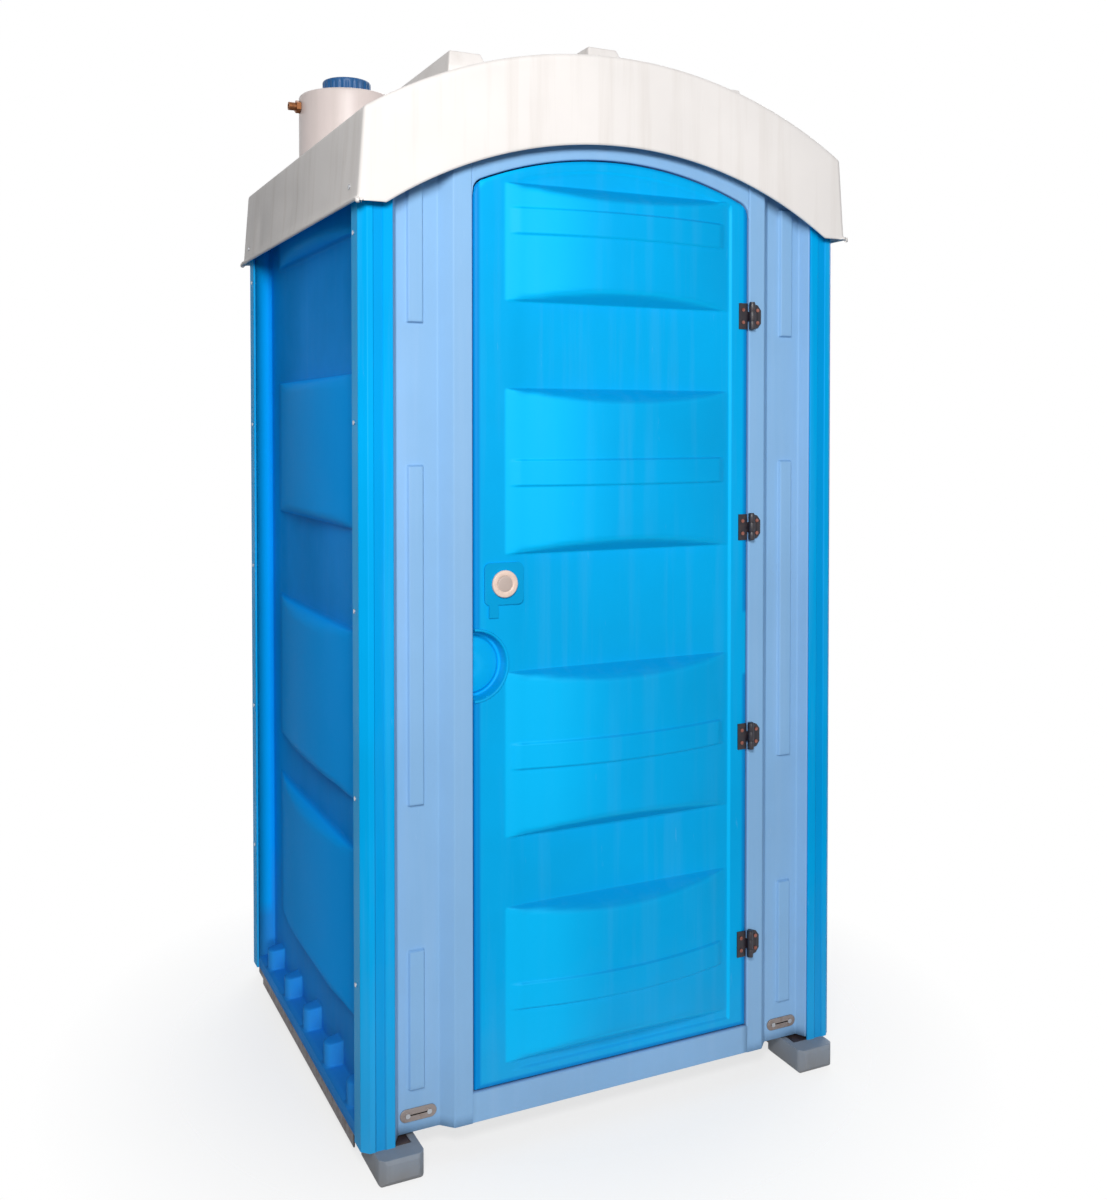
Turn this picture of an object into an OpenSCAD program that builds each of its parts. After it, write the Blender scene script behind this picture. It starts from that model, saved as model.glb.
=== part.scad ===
// Portable shower cabin: moulded panels between corner posts, an arched roof with a deep skirt,
// a hinged door in a proud surround, two runners with feet, and a small water tank through the roof.
// X runs to the right seen from the front, Y to the back, Z up. The origin is on the ground, in the middle.

/* [Body] */
// Width over the corner posts
body_w = 1140; // [1000:1:1300]
// Depth over the corner posts
body_d = 1006; // [900:1:1200]
// Height of the underside of posts and panels above the ground
base_z = 56; // [50:1:80]
// Height of the lower edge of the roof skirt
eaves_z = 1918; // [1850:1:2050]

/* [Corner posts] */
// Width of a post seen from the front
post_face = 68; // [60:1:90]
// Width of a post seen from the side
post_side = 57; // [50:1:80]
// Thickness of the post profile
post_t = 6; // [4:0.5:8]
// Size of the chamfer on the outer corner of a post
post_chamfer = 15; // [8:1:20]
// Width of the flute in the front of a post
flute_w = 22; // [10:1:24]
// Depth of the flute
flute_d = 2; // [1:0.5:3]

/* [Walls] */
// How far the side and rear walls lie behind the faces of the posts
wall_recess = 48; // [40:1:60]
// Thickness of a wall sheet
wall_t = 12; // [8:1:16]
// Thickness of the folded edges of walls and front panel
edge_t = 6; // [4:0.5:6]
// How far the middle of a wall cushion stands out
wall_bow = 30; // [10:1:36]
// Height of the slope at the lower and upper end of a wall cushion
wall_slope = 16; // [12:1:40]
// Width of the cushions on the side walls
side_cushion_w = 740; // [600:1:800]
// Width of the cushions on the rear wall
rear_cushion_w = 640; // [300:1:700]
// Lower edge of the lowest cushion
cushion_z1 = 240; // [200:1:260]
// Lower edge of the middle cushion
cushion_z2 = 700; // [660:1:720]
// Lower edge of the highest cushion
cushion_z3 = 1270; // [1200:1:1300]
// Height of the two lower cushions
cushion_h = 360; // [250:1:380]
// Height of the highest cushion
cushion_top_h = 330; // [250:1:380]
// Lower edge of the short cushion under the roof
cushion_z4 = 1885; // [1850:1:1900]
// Height of the short cushion under the roof
cushion_crest_h = 150; // [100:1:160]
// Height of the ledge along the foot of the side walls
ledge_h = 32; // [26:1:50]
// Number of half-round lugs along the foot of a side wall
lug_count = 5; // [3:1:6]
// Distance between the lugs
lug_pitch = 180; // [100:1:190]
// Radius of a lug
lug_r = 22; // [12:1:26]
// Height of a lug above the ledge
lug_h = 50; // [30:1:70]
// Distance of the axis of a lug from the sunk field of the wall
lug_stand = 16; // [8:1:18]

/* [Front panel] */
// How far the side strips of the front panel lie behind the door surround
strip_recess = 25; // [15:1:30]
// How far the door surround lies behind the faces of the posts
surround_back = 3; // [1:1:5]
// Width of the flat door surround beside the door
surround_w = 41; // [36:1:50]
// Width of the slope from the surround to a side strip
strip_slope = 25; // [15:1:30]
// How far the front panel ends above the underside of the posts
panel_lift = 6; // [2:1:12]
// Distance of a strip rib from the middle of the cabin
rib_x = 449; // [440:1:455]
// Width of a strip rib
rib_w = 36; // [20:1:40]
// How far a strip rib stands out
rib_out = 8; // [4:1:10]
// Lower ends of the three strip ribs
rib_z1 = 148; // [140:1:160]
rib_z2 = 724; // [700:1:740]
rib_z3 = 1692; // [1650:1:1700]
// Upper ends of the three strip ribs
rib_end1 = 434; // [400:1:460]
rib_end2 = 1410; // [1300:1:1500]
rib_end3 = 1985; // [1900:1:1995]

/* [Door] */
// Width of the door leaf
door_w = 662; // [600:1:680]
// Height of the door's lower edge above the underside of the panels
sill_h = 71; // [66:1:90]
// Gap between the door's arch and the lower edge of the roof, in the middle
door_clear = 28; // [20:1:60]
// Radius of the arched upper edge
door_arch_r = 820; // [700:1:1200]
// Radius of the upper corners of the door
door_corner_r = 30; // [15:1:60]
// Gap between the door and its surround
door_gap = 3; // [2:0.5:5]
// Thickness of the outer half of the door
skin_d = 18; // [14:1:22]
// Thickness of the inner half of the door
liner_d = 19; // [17:1:24]
// Thickness of the moulded door sheets
sheet_t = 4; // [3:0.5:5]
// How far the middle of a door cushion stands out
door_bow = 36; // [15:1:40]
// Height of the slope at the lower and upper end of a door cushion
door_slope = 27; // [20:1:45]
// Door margin to the left of the cushions
cushion_left = 69; // [60:1:140]
// Door margin to the right of the cushions
cushion_right = 53; // [45:1:140]
// Height of a band across a door cushion
band_h = 58; // [30:1:70]
// How far a band stands out
band_out = 4; // [2:1:6]

/* [Hinges] */
// Height of the lowest hinge's middle
hinge_z = 315; // [260:1:400]
// Distance between hinges
hinge_pitch = 473; // [300:1:480]
// Height of a hinge
hinge_h = 58; // [48:1:70]
// Width of the leaf on the door
door_leaf_w = 30; // [26:1:40]
// Width of the leaf on the surround
jamb_leaf_w = 28; // [24:1:32]
// Thickness of the leaves
leaf_t = 3; // [2:0.5:4]
// Outer radius of the knuckles
knuckle_r = 7; // [6:0.5:9]
// Radius of the hinge pin
pin_r = 3; // [2:0.5:3.5]
// Distance between the two screws of a leaf
leaf_screw_pitch = 28; // [24:1:40]

/* [Lock] */
// Distance of the lock from the closing edge of the door
lock_inset = 64; // [60:1:80]
// Height of the lock
lock_z = 1165; // [1130:1:1250]
// Width of the outer lock plate
plate_w = 86; // [70:1:96]
// Thickness of the outer lock plate
plate_t = 4; // [3:0.5:6]
// Radius of the turning disc outside
disc_r = 28; // [20:1:32]
// Thickness of the turning disc
disc_t = 7; // [5:0.5:9]
// Radius of the lock spindle
spindle_r = 5; // [4:0.5:6]
// Travel of the bolt
bolt_travel = 30; // [28:1:34]
// Height of the bolt
bolt_h = 24; // [20:1:30]
// Thickness of the bolt
bolt_t = 10; // [8:1:12]
// Distance from the lock down to the finger pull's middle
pull_drop = 165; // [150:1:265]
// Radius of the finger pull
pull_r = 70; // [50:1:75]
// Depth of the finger pull
pull_d = 28; // [20:1:30]

/* [Roof] */
// How far the skirt stands out beside the posts at its lower edge
side_over = 10; // [8:1:30]
// How far the skirt stands out in front of the posts
front_over = 26; // [24:1:40]
// How much narrower the skirt is at its upper edge, on each side
skirt_lean = 14; // [0:1:16]
// Height of the skirt at its corners
skirt_h = 182; // [150:1:220]
// Rise of the roof's arch above the skirt's upper corners
crown_rise = 163; // [120:1:190]
// Rise of the arch cut into the front and rear skirt
cut_rise = 157; // [120:1:158]
// Half width of the arch cut
cut_half = 523; // [480:1:540]
// Wall thickness of the roof
roof_t = 5; // [3:0.5:8]
// Size of the lip along the lower edge of the skirt
lip = 8; // [4:1:12]
// Width of a raised roof rib
roof_rib_w = 92; // [60:1:120]
// Height of a raised roof rib
roof_rib_h = 46; // [20:1:50]
// Distance between the roof ribs
roof_rib_pitch = 320; // [250:1:360]
// Length of a roof rib
roof_rib_l = 900; // [600:1:940]

/* [Water tank] */
// Gap between the tank and the outer faces of the left posts, seen from above
tank_side = 84; // [82:1:120]
// Gap between the tank and the outer faces of the rear posts, seen from above
tank_rear = 103; // [93:1:143]
// Radius of the tank
tank_r = 120; // [100:1:121]
// Wall thickness of the tank
tank_t = 4; // [3:0.5:6]
// Height of the tank
tank_h = 440; // [380:1:460]
// Height of the tank's rim above the crown of the roof
tank_over = 61; // [47:1:130]
// Radius of the filler neck's opening
filler_r = 52; // [30:1:54]
// Radius of the cap
cap_r = 61; // [58:1:80]
// Height of the cap above the rim
cap_h = 42; // [20:1:50]

/* [Base] */
// Width of a runner
runner_w = 64; // [50:1:70]
// Distance from the outside of the posts to the middle of a runner
runner_in = 70; // [65:1:90]
// Clearance under a runner
runner_lift = 8; // [6:1:12]
// Height of the folded lip with which a runner shows below the wall
runner_lip = 34; // [20:1:38]
// Width of a foot
foot_w = 94; // [88:1:110]
// Length of a foot
foot_l = 130; // [110:1:160]
// How far a foot stands out in front of the posts
foot_out = 42; // [36:1:60]
// Size of the bevels on a foot
foot_bevel = 14; // [8:1:18]

/* [Floor] */
// Height of the tray's floor above its underside
tray_floor = 20; // [16:1:26]
// Thickness of the tray's floor
tray_t = 12; // [8:1:14]
// Width of the tray's rim
tray_rim = 21; // [16:1:24]
// Radius of the waste hole
waste_r = 20; // [16:1:20]
// Distance of the waste hole behind the cabin's middle
waste_back = 375; // [365:1:376]
// Radius of the strainer
strainer_r = 42; // [38:1:44]
// Gap between the floor grate and the tray's side rims
grate_side = 49; // [10:1:120]
// Gap between the floor grate and the tray's rear rim
grate_back = 22; // [10:1:80]
// Thickness of the floor grate
grate_t = 24; // [16:1:26]
// Number of slats in the floor grate
slat_count = 15; // [8:1:18]
// Gap between two slats
slat_gap = 16; // [8:1:24]

/* [Shower] */
// Radius of the pipes
pipe_r = 11; // [8:0.5:12]
// Distance of the riser to the left of the cabin's middle
riser_left = 180; // [150:1:200]
// Height of the valve
valve_z = 1120; // [1090:1:1150]
// Height of the shower arm
arm_z = 1850; // [1840:1:1856]
// Reach of the shower arm from the riser
arm_l = 215; // [150:1:240]
// Radius of the shower head
head_r = 60; // [40:1:75]
// Height of the soap dish
dish_z = 1110; // [1065:1:1200]
// Width of the soap dish
dish_w = 130; // [100:1:160]

/* [Hidden] */
$fn = 48;

// Clearances
seat = 0.2;
run_clear = 0.05;
soft_clear = 0.3;

// Planes of the body, seen from above
half_w = body_w / 2;
runner_x = half_w - runner_in;
half_d = body_d / 2;
wall_x = half_w - wall_recess;
inner_x = wall_x - wall_t;
wall_y = half_d - wall_recess;
inner_y = wall_y - wall_t;
web_y = half_d - post_side;
face_x = half_w - post_face;
front_y = half_d - surround_back;
strip_y = front_y - strip_recess;
door_back = front_y - skin_d - liner_d;
stop_y = door_back - 1;
stop_t = 4;
stop_lap = 8;

// Roof arches in the front view
skirt_top_z = eaves_z + skirt_h;
skirt_half_low = half_w + side_over;
skirt_half_top = skirt_half_low - skirt_lean;
skirt_y = half_d + front_over;
crown_z = skirt_top_z + crown_rise;
crown_r = (skirt_half_top * skirt_half_top + crown_rise * crown_rise) / (2 * crown_rise);
crown_c = crown_z - crown_r;
cut_r = (cut_half * cut_half + cut_rise * cut_rise) / (2 * cut_rise);
cut_c = eaves_z + cut_rise - cut_r;
vault_r = crown_r - roof_t - seat;
post_top = eaves_z + 70;

// Door outline
door_half = door_w / 2;
door_cushion_w = door_w - cushion_left - cushion_right;
door_cushion_x = (cushion_left - cushion_right) / 2;
door_z = base_z + sill_h;
door_top = eaves_z + cut_rise - door_clear;
panel_z = base_z + panel_lift;
arch_c = door_top - door_arch_r;
corner_x = door_half - door_corner_r;
corner_z = arch_c + sqrt(pow(door_arch_r - door_corner_r, 2) - corner_x * corner_x);
corner_a = atan2(corner_z - arch_c, corner_x);

// Hinge line
hinge_count = 4;
hinge_x = door_half + 5;
hinge_y = front_y + knuckle_r + 2;

// Lock
lock_x = -(door_half - lock_inset);
pull_z = lock_z - pull_drop;
case_d = 22;
case_w = 100;
case_h = 50;
case_left = 42;
bolt_y = door_back - case_d / 2 - bolt_t / 2;
bolt_tip = -(door_half - stop_lap - 6);
slot_clear = 0.6;

// Base
foot_end = half_d + foot_out;
tray_z = base_z;
tray_top = door_z - door_gap;
tray_front = stop_y - stop_t;
floor_z = tray_z + tray_floor;
grate_z = tray_top - 6 - grate_t;
grate_w = 2 * (inner_x - tray_rim - grate_side);
grate_d = 2 * (inner_y - tray_rim - grate_back);

// Shower
pipe_y = inner_y - 25;
tank_top = crown_z + tank_over;
inlet_z = tank_top - 33;
tank_bottom = tank_top - tank_h;
tank_x = -(half_w - tank_side - tank_r);
tank_back = half_d - tank_rear - tank_r;
riser_x = -riser_left;
tank_flange = 20;
collar_t = 18;
flange_grip = 14;
bolt_hole_r = 2.6;
boss_z = crown_c + sqrt(vault_r * vault_r - pow(tank_r + tank_flange - tank_x, 2)) - 10;

function arc(cx, cy, r, a0, a1, n) = [for (i = [0:n]) [cx + r * cos(a0 + (a1 - a0) * i / n), cy + r * sin(a0 + (a1 - a0) * i / n)]];

function door_outline(g) = concat(
    [[-door_half - g, door_z - g], [door_half + g, door_z - g]],
    arc(corner_x, corner_z, door_corner_r + g, 0, corner_a, 6),
    arc(0, arch_c, door_arch_r + g, corner_a, 180 - corner_a, 24),
    arc(-corner_x, corner_z, door_corner_r + g, 180 - corner_a, 180, 6)
);

// Extrudes a front-view outline from depth y0 to depth y1
module front_slab(y0, y1) {
    translate([0, y1, 0]) rotate([90, 0, 0]) linear_extrude(y1 - y0) children();
}

// Extrudes a side-view outline, drawn as depth and height, from x0 to x1
module side_slab(x0, x1) {
    translate([x0, 0, 0]) rotate([90, 0, 90]) linear_extrude(x1 - x0) children();
}

module slab(x0, x1, y0, y1, z0, z1) {
    translate([x0, y0, z0]) cube([x1 - x0, y1 - y0, z1 - z0]);
}

// Cylinder along Y from y0 to y1
module rod_y(x, z, r, y0, y1) {
    translate([x, y0, z]) rotate([-90, 0, 0]) cylinder(r = r, h = y1 - y0);
}

// Cylinder along X from x0 to x1
module rod_x(y, z, r, x0, x1) {
    translate([x0, y, z]) rotate([0, 90, 0]) cylinder(r = r, h = x1 - x0);
}

// Cylinder along Z from z0 to z1
module rod_z(x, y, r, z0, z1) {
    translate([x, y, z0]) cylinder(r = r, h = z1 - z0);
}

// A moulded cushion on the plane y = 0 that bows out towards -Y, with sloping ends
module cushion(w, z0, z1, bow, slope) {
    r = (w * w / 4 + bow * bow) / (2 * bow);
    intersection() {
        translate([0, 0, z0]) linear_extrude(z1 - z0) intersection() {
            translate([0, r - bow]) circle(r = r, $fn = 96);
            translate([-w / 2, -bow - 1]) square([w, bow + 1]);
        }
        side_slab(-w / 2, w / 2) polygon([[0, z0], [0, z1], [-bow - 1, z1 - slope], [-bow - 1, z0 + slope]]);
    }
}

// A countersunk-free pan head screw that points along +Y, head at y = 0
module screw(head_r, shank_r, head_h, shank_l) {
    rod_y(0, 0, head_r, -head_h, 0);
    rod_y(0, 0, shank_r, -head_h / 2, shank_l);
}

// Plan of the front left post
module post_profile() {
    c = post_chamfer;
    f = flute_w / 2;
    mid = (half_w - c + face_x) / 2 + 4;
    polygon([
        [-face_x, -half_d], [-mid + f, -half_d], [-mid + f - 2, -half_d + flute_d],
        [-mid - f + 2, -half_d + flute_d], [-mid - f, -half_d], [-half_w + c, -half_d],
        [-half_w, -half_d + c], [-half_w, -web_y], [-half_w + post_t, -web_y],
        [-half_w + post_t, -half_d + c + post_t / 2], [-half_w + c + post_t / 2, -half_d + post_t],
        [-face_x, -half_d + post_t]
    ]);
}

module post(rear) {
    color("deepskyblue") difference() {
        translate([0, 0, base_z]) linear_extrude(post_top - base_z) post_profile();
        roof_screw_rods(2.1, 0, half_w - post_t - 1);
        for (i = [0:4]) {
            rod_x(-screw_d, post_screw_z(i), 2.1, -half_w - 1, -half_w + post_t + 1);
            if (rear) rod_y(-screw_face_x, post_screw_z(i), 2.1, -half_d - 1, -half_d + post_t + 1);
        }
    }
}
module post_front_left() { post(false); }
module post_front_right() { mirror([1, 0, 0]) post(false); }
module post_rear_left() { mirror([0, 1, 0]) post(true); }
module post_rear_right() { rotate([0, 0, 180]) post(true); }

// Heights of the screws along a post
screw_step = (post_top - base_z) / 5.2;
function post_screw_z(i) = base_z + screw_step * (i + 0.87);
screw_d = web_y + (half_d - web_y) * 0.3;
screw_face_x = face_x + 20;

// Three cushions and a short one under the roof, as on every wall
module wall_cushions(w, bow, grow) {
    for (z = [cushion_z1, cushion_z2])
        cushion(w - 2 * grow, z + grow, z + cushion_h - grow, bow, wall_slope);
    cushion(w - 2 * grow, cushion_z3 + grow, cushion_z3 + cushion_top_h - grow, bow, wall_slope);
    cushion(w - 2 * grow, cushion_z4 + grow, cushion_z4 + cushion_crest_h - grow, bow, wall_slope);
}

module side_wall() {
    top = crown_c + sqrt(vault_r * vault_r - wall_x * wall_x);
    tongue_x = half_w - post_t;
    color("dodgerblue") difference() {
        union() {
            slab(-wall_x, -inner_x, -half_d + post_t + edge_t, wall_y, base_z, top);
            for (s = [-1, 1]) scale_y(s) {
                slab(-tongue_x, -wall_x, web_y, web_y + edge_t, base_z, post_top);
                slab(-tongue_x, -tongue_x + edge_t, web_y, web_y + 32, base_z, post_top);
            }
            slab(-tongue_x, -wall_x, -web_y, web_y, base_z, base_z + ledge_h);
            for (i = [0:lug_count - 1])
                translate([-wall_x, (i - (lug_count - 1) / 2) * lug_pitch, base_z + ledge_h]) lug();
            translate([-wall_x, 0, 0]) rotate([0, 0, -90]) wall_cushions(side_cushion_w, wall_bow, 0);
        }
        translate([-wall_x + 4, 0, 0]) rotate([0, 0, -90]) wall_cushions(side_cushion_w, wall_bow, 8);
        translate([-inner_x + 1, 0, 0]) rotate([0, 0, -90]) wall_relief(side_cushion_w);
        for (s = [-1, 1]) for (i = [0:4])
            rod_x(s * screw_d, post_screw_z(i), 2.1, -half_w, -tongue_x + edge_t + 1);
    }
}

// The hollow behind the cushions, cut through the inner face of the sheet
module wall_relief(w) {
    for (z = [[cushion_z1, cushion_h], [cushion_z2, cushion_h], [cushion_z3, cushion_top_h]])
        translate([-w / 2 + 24, -wall_t + 3, z[0] + 24]) cube([w - 48, wall_t, z[1] - 48]);
}

// Mirrors children to the front when s is -1
module scale_y(s) {
    if (s < 0) mirror([0, 1, 0]) children();
    else children();
}

// One half-round lug that stands on the ledge against the wall
module lug() {
    intersection() {
        scale_lug() cylinder(r = lug_r, h = lug_h);
        translate([-2 * wall_recess, -lug_r, 0]) cube([2 * wall_recess, 2 * lug_r, lug_h]);
    }
}
module scale_lug() {
    translate([-lug_stand, 0, 0]) children();
    translate([-lug_stand, -lug_r, 0]) cube([lug_stand, 2 * lug_r, lug_h]);
}

module wall_left() { side_wall(); }
module wall_right() { mirror([1, 0, 0]) side_wall(); }

// Everything below the inside of the roof's arch
module under_vault(y0, y1) {
    front_slab(y0, y1) translate([0, crown_c]) circle(r = vault_r, $fn = 180);
    slab(-half_w, half_w, y0, y1, 0, eaves_z);
}

module wall_rear() {
    tongue_y = half_d - post_t;
    color("dodgerblue") difference() {
        union() {
            intersection() {
                slab(-inner_x, inner_x, inner_y, wall_y, base_z, crown_z);
                under_vault(inner_y - 1, wall_y + 1);
            }
            for (s = [-1, 1]) scale_x(s) {
                slab(face_x, face_x + edge_t, wall_y, tongue_y, base_z, post_top);
                slab(face_x, face_x + 40, tongue_y - edge_t, tongue_y, base_z, post_top);
            }
            slab(-face_x, face_x, wall_y, tongue_y, base_z, base_z + ledge_h);
            translate([0, wall_y, 0]) rotate([0, 0, 180]) wall_cushions(rear_cushion_w, wall_bow, 0);
        }
        translate([0, wall_y - 4, 0]) rotate([0, 0, 180]) wall_cushions(rear_cushion_w, wall_bow, 8);
        translate([0, inner_y - 1, 0]) rotate([0, 0, 180]) wall_relief(rear_cushion_w);
        for (s = [-1, 1]) for (i = [0:4])
            rod_y(s * screw_face_x, post_screw_z(i), 2.1, tongue_y - edge_t - 1, half_d);
    }
}
module scale_x(s) {
    if (s < 0) mirror([1, 0, 0]) children();
    else children();
}

// Plan of the front panel's sheet, half of it
module panel_plan() {
    a = door_half + door_gap + surround_w;
    b = a + strip_slope;
    c = face_x - 14;
    d = face_x - 1;
    t = edge_t;
    tongue = half_d - post_t;
    polygon([
        [-1, -front_y], [a, -front_y], [b, -strip_y], [c, -strip_y], [d, -tongue], [face_x + 40, -tongue],
        [face_x + 40, -tongue + t], [d + 3, -tongue + t], [c + 3, -strip_y + t], [b - 3, -strip_y + t],
        [a - 3, -front_y + t], [-1, -front_y + t]
    ]);
}

module front_panel() {
    color("lightskyblue") difference() {
        union() {
            intersection() {
                translate([0, 0, panel_z]) linear_extrude(crown_z - panel_z) {
                    panel_plan();
                    mirror([1, 0]) panel_plan();
                }
                under_vault(-half_d, -strip_y + 20);
                union() {
                    slab(-face_x + 1, face_x - 1, -half_d, -strip_y + 20, panel_z, crown_z);
                    slab(-half_w, half_w, -half_d, -strip_y + 20, panel_z, post_top);
                }
            }
            front_slab(-front_y, -stop_y) polygon(door_outline(door_gap + edge_t));
            for (s = [-1, 1]) for (r = [[rib_z1, rib_end1], [rib_z2, rib_end2], [rib_z3, rib_end3]])
                slab(s * rib_x - rib_w / 2, s * rib_x + rib_w / 2, -strip_y - rib_out, -strip_y + 1, r[0], r[1]);
        }
        front_slab(-half_d - 1, -stop_y + 1) polygon(door_outline(door_gap));
        for (z = [0:hinge_count - 1]) for (s = [-1, 1])
            rod_y(hinge_x + jamb_leaf_w - 10, hinge_z + z * hinge_pitch + s * leaf_screw_pitch / 2, 2, -half_d, -door_back);
        for (s = [-1, 1]) for (k = [-1, 1])
            rod_y(s * tie_x + k * tie_pitch / 2, tie_z, 2, -half_d, -strip_y + edge_t + 1);
    }
}

// Rim behind the door's edge, which the closed door meets
module door_stop() {
    color("lightskyblue") difference() {
        front_slab(-stop_y, -stop_y + stop_t) polygon(door_outline(door_gap + edge_t + 24));
        front_slab(-stop_y - 1, -stop_y + stop_t + 1) polygon(door_outline(-stop_lap));
    }
}

// Tie plates at the foot of the front panel
tie_x = (face_x + door_half + surround_w + strip_slope) / 2 - 4;
tie_z = base_z + 42;
tie_w = 78;
tie_h = 26;
tie_t = 3;
tie_pitch = 46;
module tie_plates() {
    color("gray") for (s = [-1, 1]) difference() {
        front_slab(-strip_y - tie_t, -strip_y) {
            translate([s * tie_x - tie_w / 2 + tie_h / 2, tie_z - tie_h / 2]) square([tie_w - tie_h, tie_h]);
            for (k = [-1, 1]) translate([s * tie_x + k * (tie_w - tie_h) / 2, tie_z]) circle(r = tie_h / 2);
        }
        for (k = [-1, 1]) rod_y(s * tie_x + k * tie_pitch / 2, tie_z, 2, -half_d, -strip_y + 1);
    }
}

// Screws that hold the posts to the walls and the tie plates to the front panel
module panel_screws() {
    color("silver") {
        for (s = [-1, 1]) for (k = [-1, 1])
            translate([s * tie_x + k * tie_pitch / 2, -strip_y - tie_t, tie_z]) screw(5, 1.9, 2.5, tie_t + edge_t);
        for (sx = [-1, 1]) for (sy = [-1, 1]) for (i = [0:4])
            scale_x(sx) translate([half_w, sy * screw_d, post_screw_z(i)]) rotate([0, 0, 90])
                screw(4.5, 2, 2, post_t + edge_t);
        for (s = [-1, 1]) for (i = [0:4])
            translate([s * screw_face_x, half_d, post_screw_z(i)]) rotate([0, 0, 180])
                screw(4.5, 2, 2, post_t + edge_t);
    }
}

// Front view of the roof, shrunk by g
module roof_view(g) {
    intersection() {
        translate([0, crown_c]) circle(r = crown_r - g, $fn = 180);
        polygon([
            [-skirt_half_low + g, eaves_z - 1], [skirt_half_low - g, eaves_z - 1],
            [skirt_half_low - g, eaves_z], [skirt_half_top - g, skirt_top_z], [skirt_half_top - g, crown_z],
            [-skirt_half_top + g, crown_z], [-skirt_half_top + g, skirt_top_z], [-skirt_half_low + g, eaves_z]
        ]);
    }
}

// One raised rib along the roof from y0 to y1, shrunk by g for its hollow
module roof_rib(x, y0, y1, g) {
    z = crown_c + sqrt(crown_r * crown_r - x * x);
    r = roof_rib_w / 2 - g;
    h = roof_rib_h - g;
    low = z - roof_rib_h;
    intersection() {
        front_slab(y0 + g, y1 - g) polygon([
            [x - r, low], [x + r, low], [x + r, z], [x + r - 12, z + h], [x - r + 12, z + h], [x - r, z]
        ]);
        side_slab(x - r, x + r) polygon([
            [y0 + g, low], [y1 - g, low], [y1 - g, z], [y1 - g - 24, z + h], [y0 + g + 24, z + h], [y0 + g, z]
        ]);
    }
}
module roof_ribs(g) {
    for (x = [0, roof_rib_pitch]) roof_rib(x, -roof_rib_l / 2, roof_rib_l / 2, g);
    roof_rib(-roof_rib_pitch, -roof_rib_l / 2, tank_back - tank_r - 2 * tank_flange, g);
}

module roof_shell() {
    color("white") difference() {
        union() {
            difference() {
                union() {
                    front_slab(-skirt_y, skirt_y) roof_view(0);
                    roof_ribs(0);
                    for (s = [-1, 1])
                        slab(s * skirt_half_low - lip, s * skirt_half_low + lip, -skirt_y, skirt_y, eaves_z, eaves_z + lip);
                }
                front_slab(-skirt_y + roof_t, skirt_y - roof_t) roof_view(roof_t);
                roof_ribs(roof_t);
                slab(-body_w, body_w, -body_d, body_d, eaves_z - 10, eaves_z);
                slab(-half_w - 0.2, half_w + 0.2, -half_d, half_d, eaves_z - 1, post_top + 1);
                front_slab(-body_d, body_d) translate([0, cut_c]) circle(r = cut_r, $fn = 180);
            }
            difference() {
                rod_z(tank_x, tank_back, tank_r + tank_flange, boss_z, tank_top);
                front_slab(-body_d, body_d) difference() {
                    translate([-body_w, 0]) square([2 * body_w, 2 * crown_z]);
                    translate([0, crown_c]) circle(r = crown_r - 1, $fn = 180);
                }
            }
        }
        rod_z(tank_x, tank_back, tank_r + 1, boss_z - 1, tank_top);
        flange_bolts(bolt_hole_r, boss_z - 1, boss_z + flange_grip + 1);
        roof_screw_rods(2.1, 1, half_w - post_t);
    }
}

// Rods at the bolts of the tank's flange
module flange_bolts(r, z0, z1) {
    c = tank_r + tank_flange - 6;
    for (a = [30:60:330]) rod_z(tank_x + c * cos(a), tank_back + c * sin(a), r, z0, z1);
}

// Rods at the screws that join skirt, spacer blocks and posts, from the skirt's face plus d0 to x_in
module roof_screw_rods(r, d0, x_in) {
    z = eaves_z + 36;
    x = skirt_half_low - skirt_lean * (z - eaves_z) / skirt_h;
    for (sx = [-1, 1]) for (sy = [-1, 1]) scale_x(sx) rod_x(sy * (web_y + 18), z, r, x_in, x + d0);
}

module roof_bolts() {
    color("silver") {
        flange_bolts(bolt_hole_r - 0.1, boss_z - collar_t - 1, boss_z + flange_grip);
        flange_bolts(5, boss_z - collar_t - 4, boss_z - collar_t);
        roof_screw_rods(2, 1, half_w - post_t);
        difference() {
            roof_screw_rods(5, 2.5, half_w);
            front_slab(-skirt_y, skirt_y) roof_view(0);
        }
    }
}

// Spacer blocks between the skirt and the tops of the posts
module roof_blocks() {
    z0 = eaves_z + 16;
    z1 = eaves_z + 56;
    in0 = skirt_half_low - roof_t - seat - skirt_lean * (z0 - eaves_z) / skirt_h;
    in1 = skirt_half_low - roof_t - seat - skirt_lean * (z1 - eaves_z) / skirt_h;
    color("dimgray") difference() {
        for (sx = [-1, 1]) for (sy = [-1, 1]) scale_x(sx)
            front_slab(sy * (web_y + 18) - 15, sy * (web_y + 18) + 15)
                polygon([[half_w, z0], [in0, z0], [in1, z1], [half_w, z1]]);
        roof_screw_rods(2.1, 1, half_w - post_t);
    }
}

shoulder = 8;
module water_tank() {
    color("mistyrose") difference() {
        union() {
            rod_z(tank_x, tank_back, tank_r, tank_bottom, tank_top);
            rod_z(tank_x, tank_back, tank_r + shoulder, boss_z - 8, boss_z);
        }
        rod_z(tank_x, tank_back, tank_r - tank_t, tank_bottom + tank_t, tank_top - tank_t);
        rod_z(tank_x, tank_back, filler_r, tank_top - 2 * tank_t, tank_top + 1);
        rod_z(tank_x, tank_back, pipe_r - 3, tank_bottom - 1, tank_bottom + 2 * tank_t);
        rod_x(tank_back, inlet_z, 9, tank_x - tank_r - 1, tank_x - tank_r + 20);
    }
}

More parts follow.
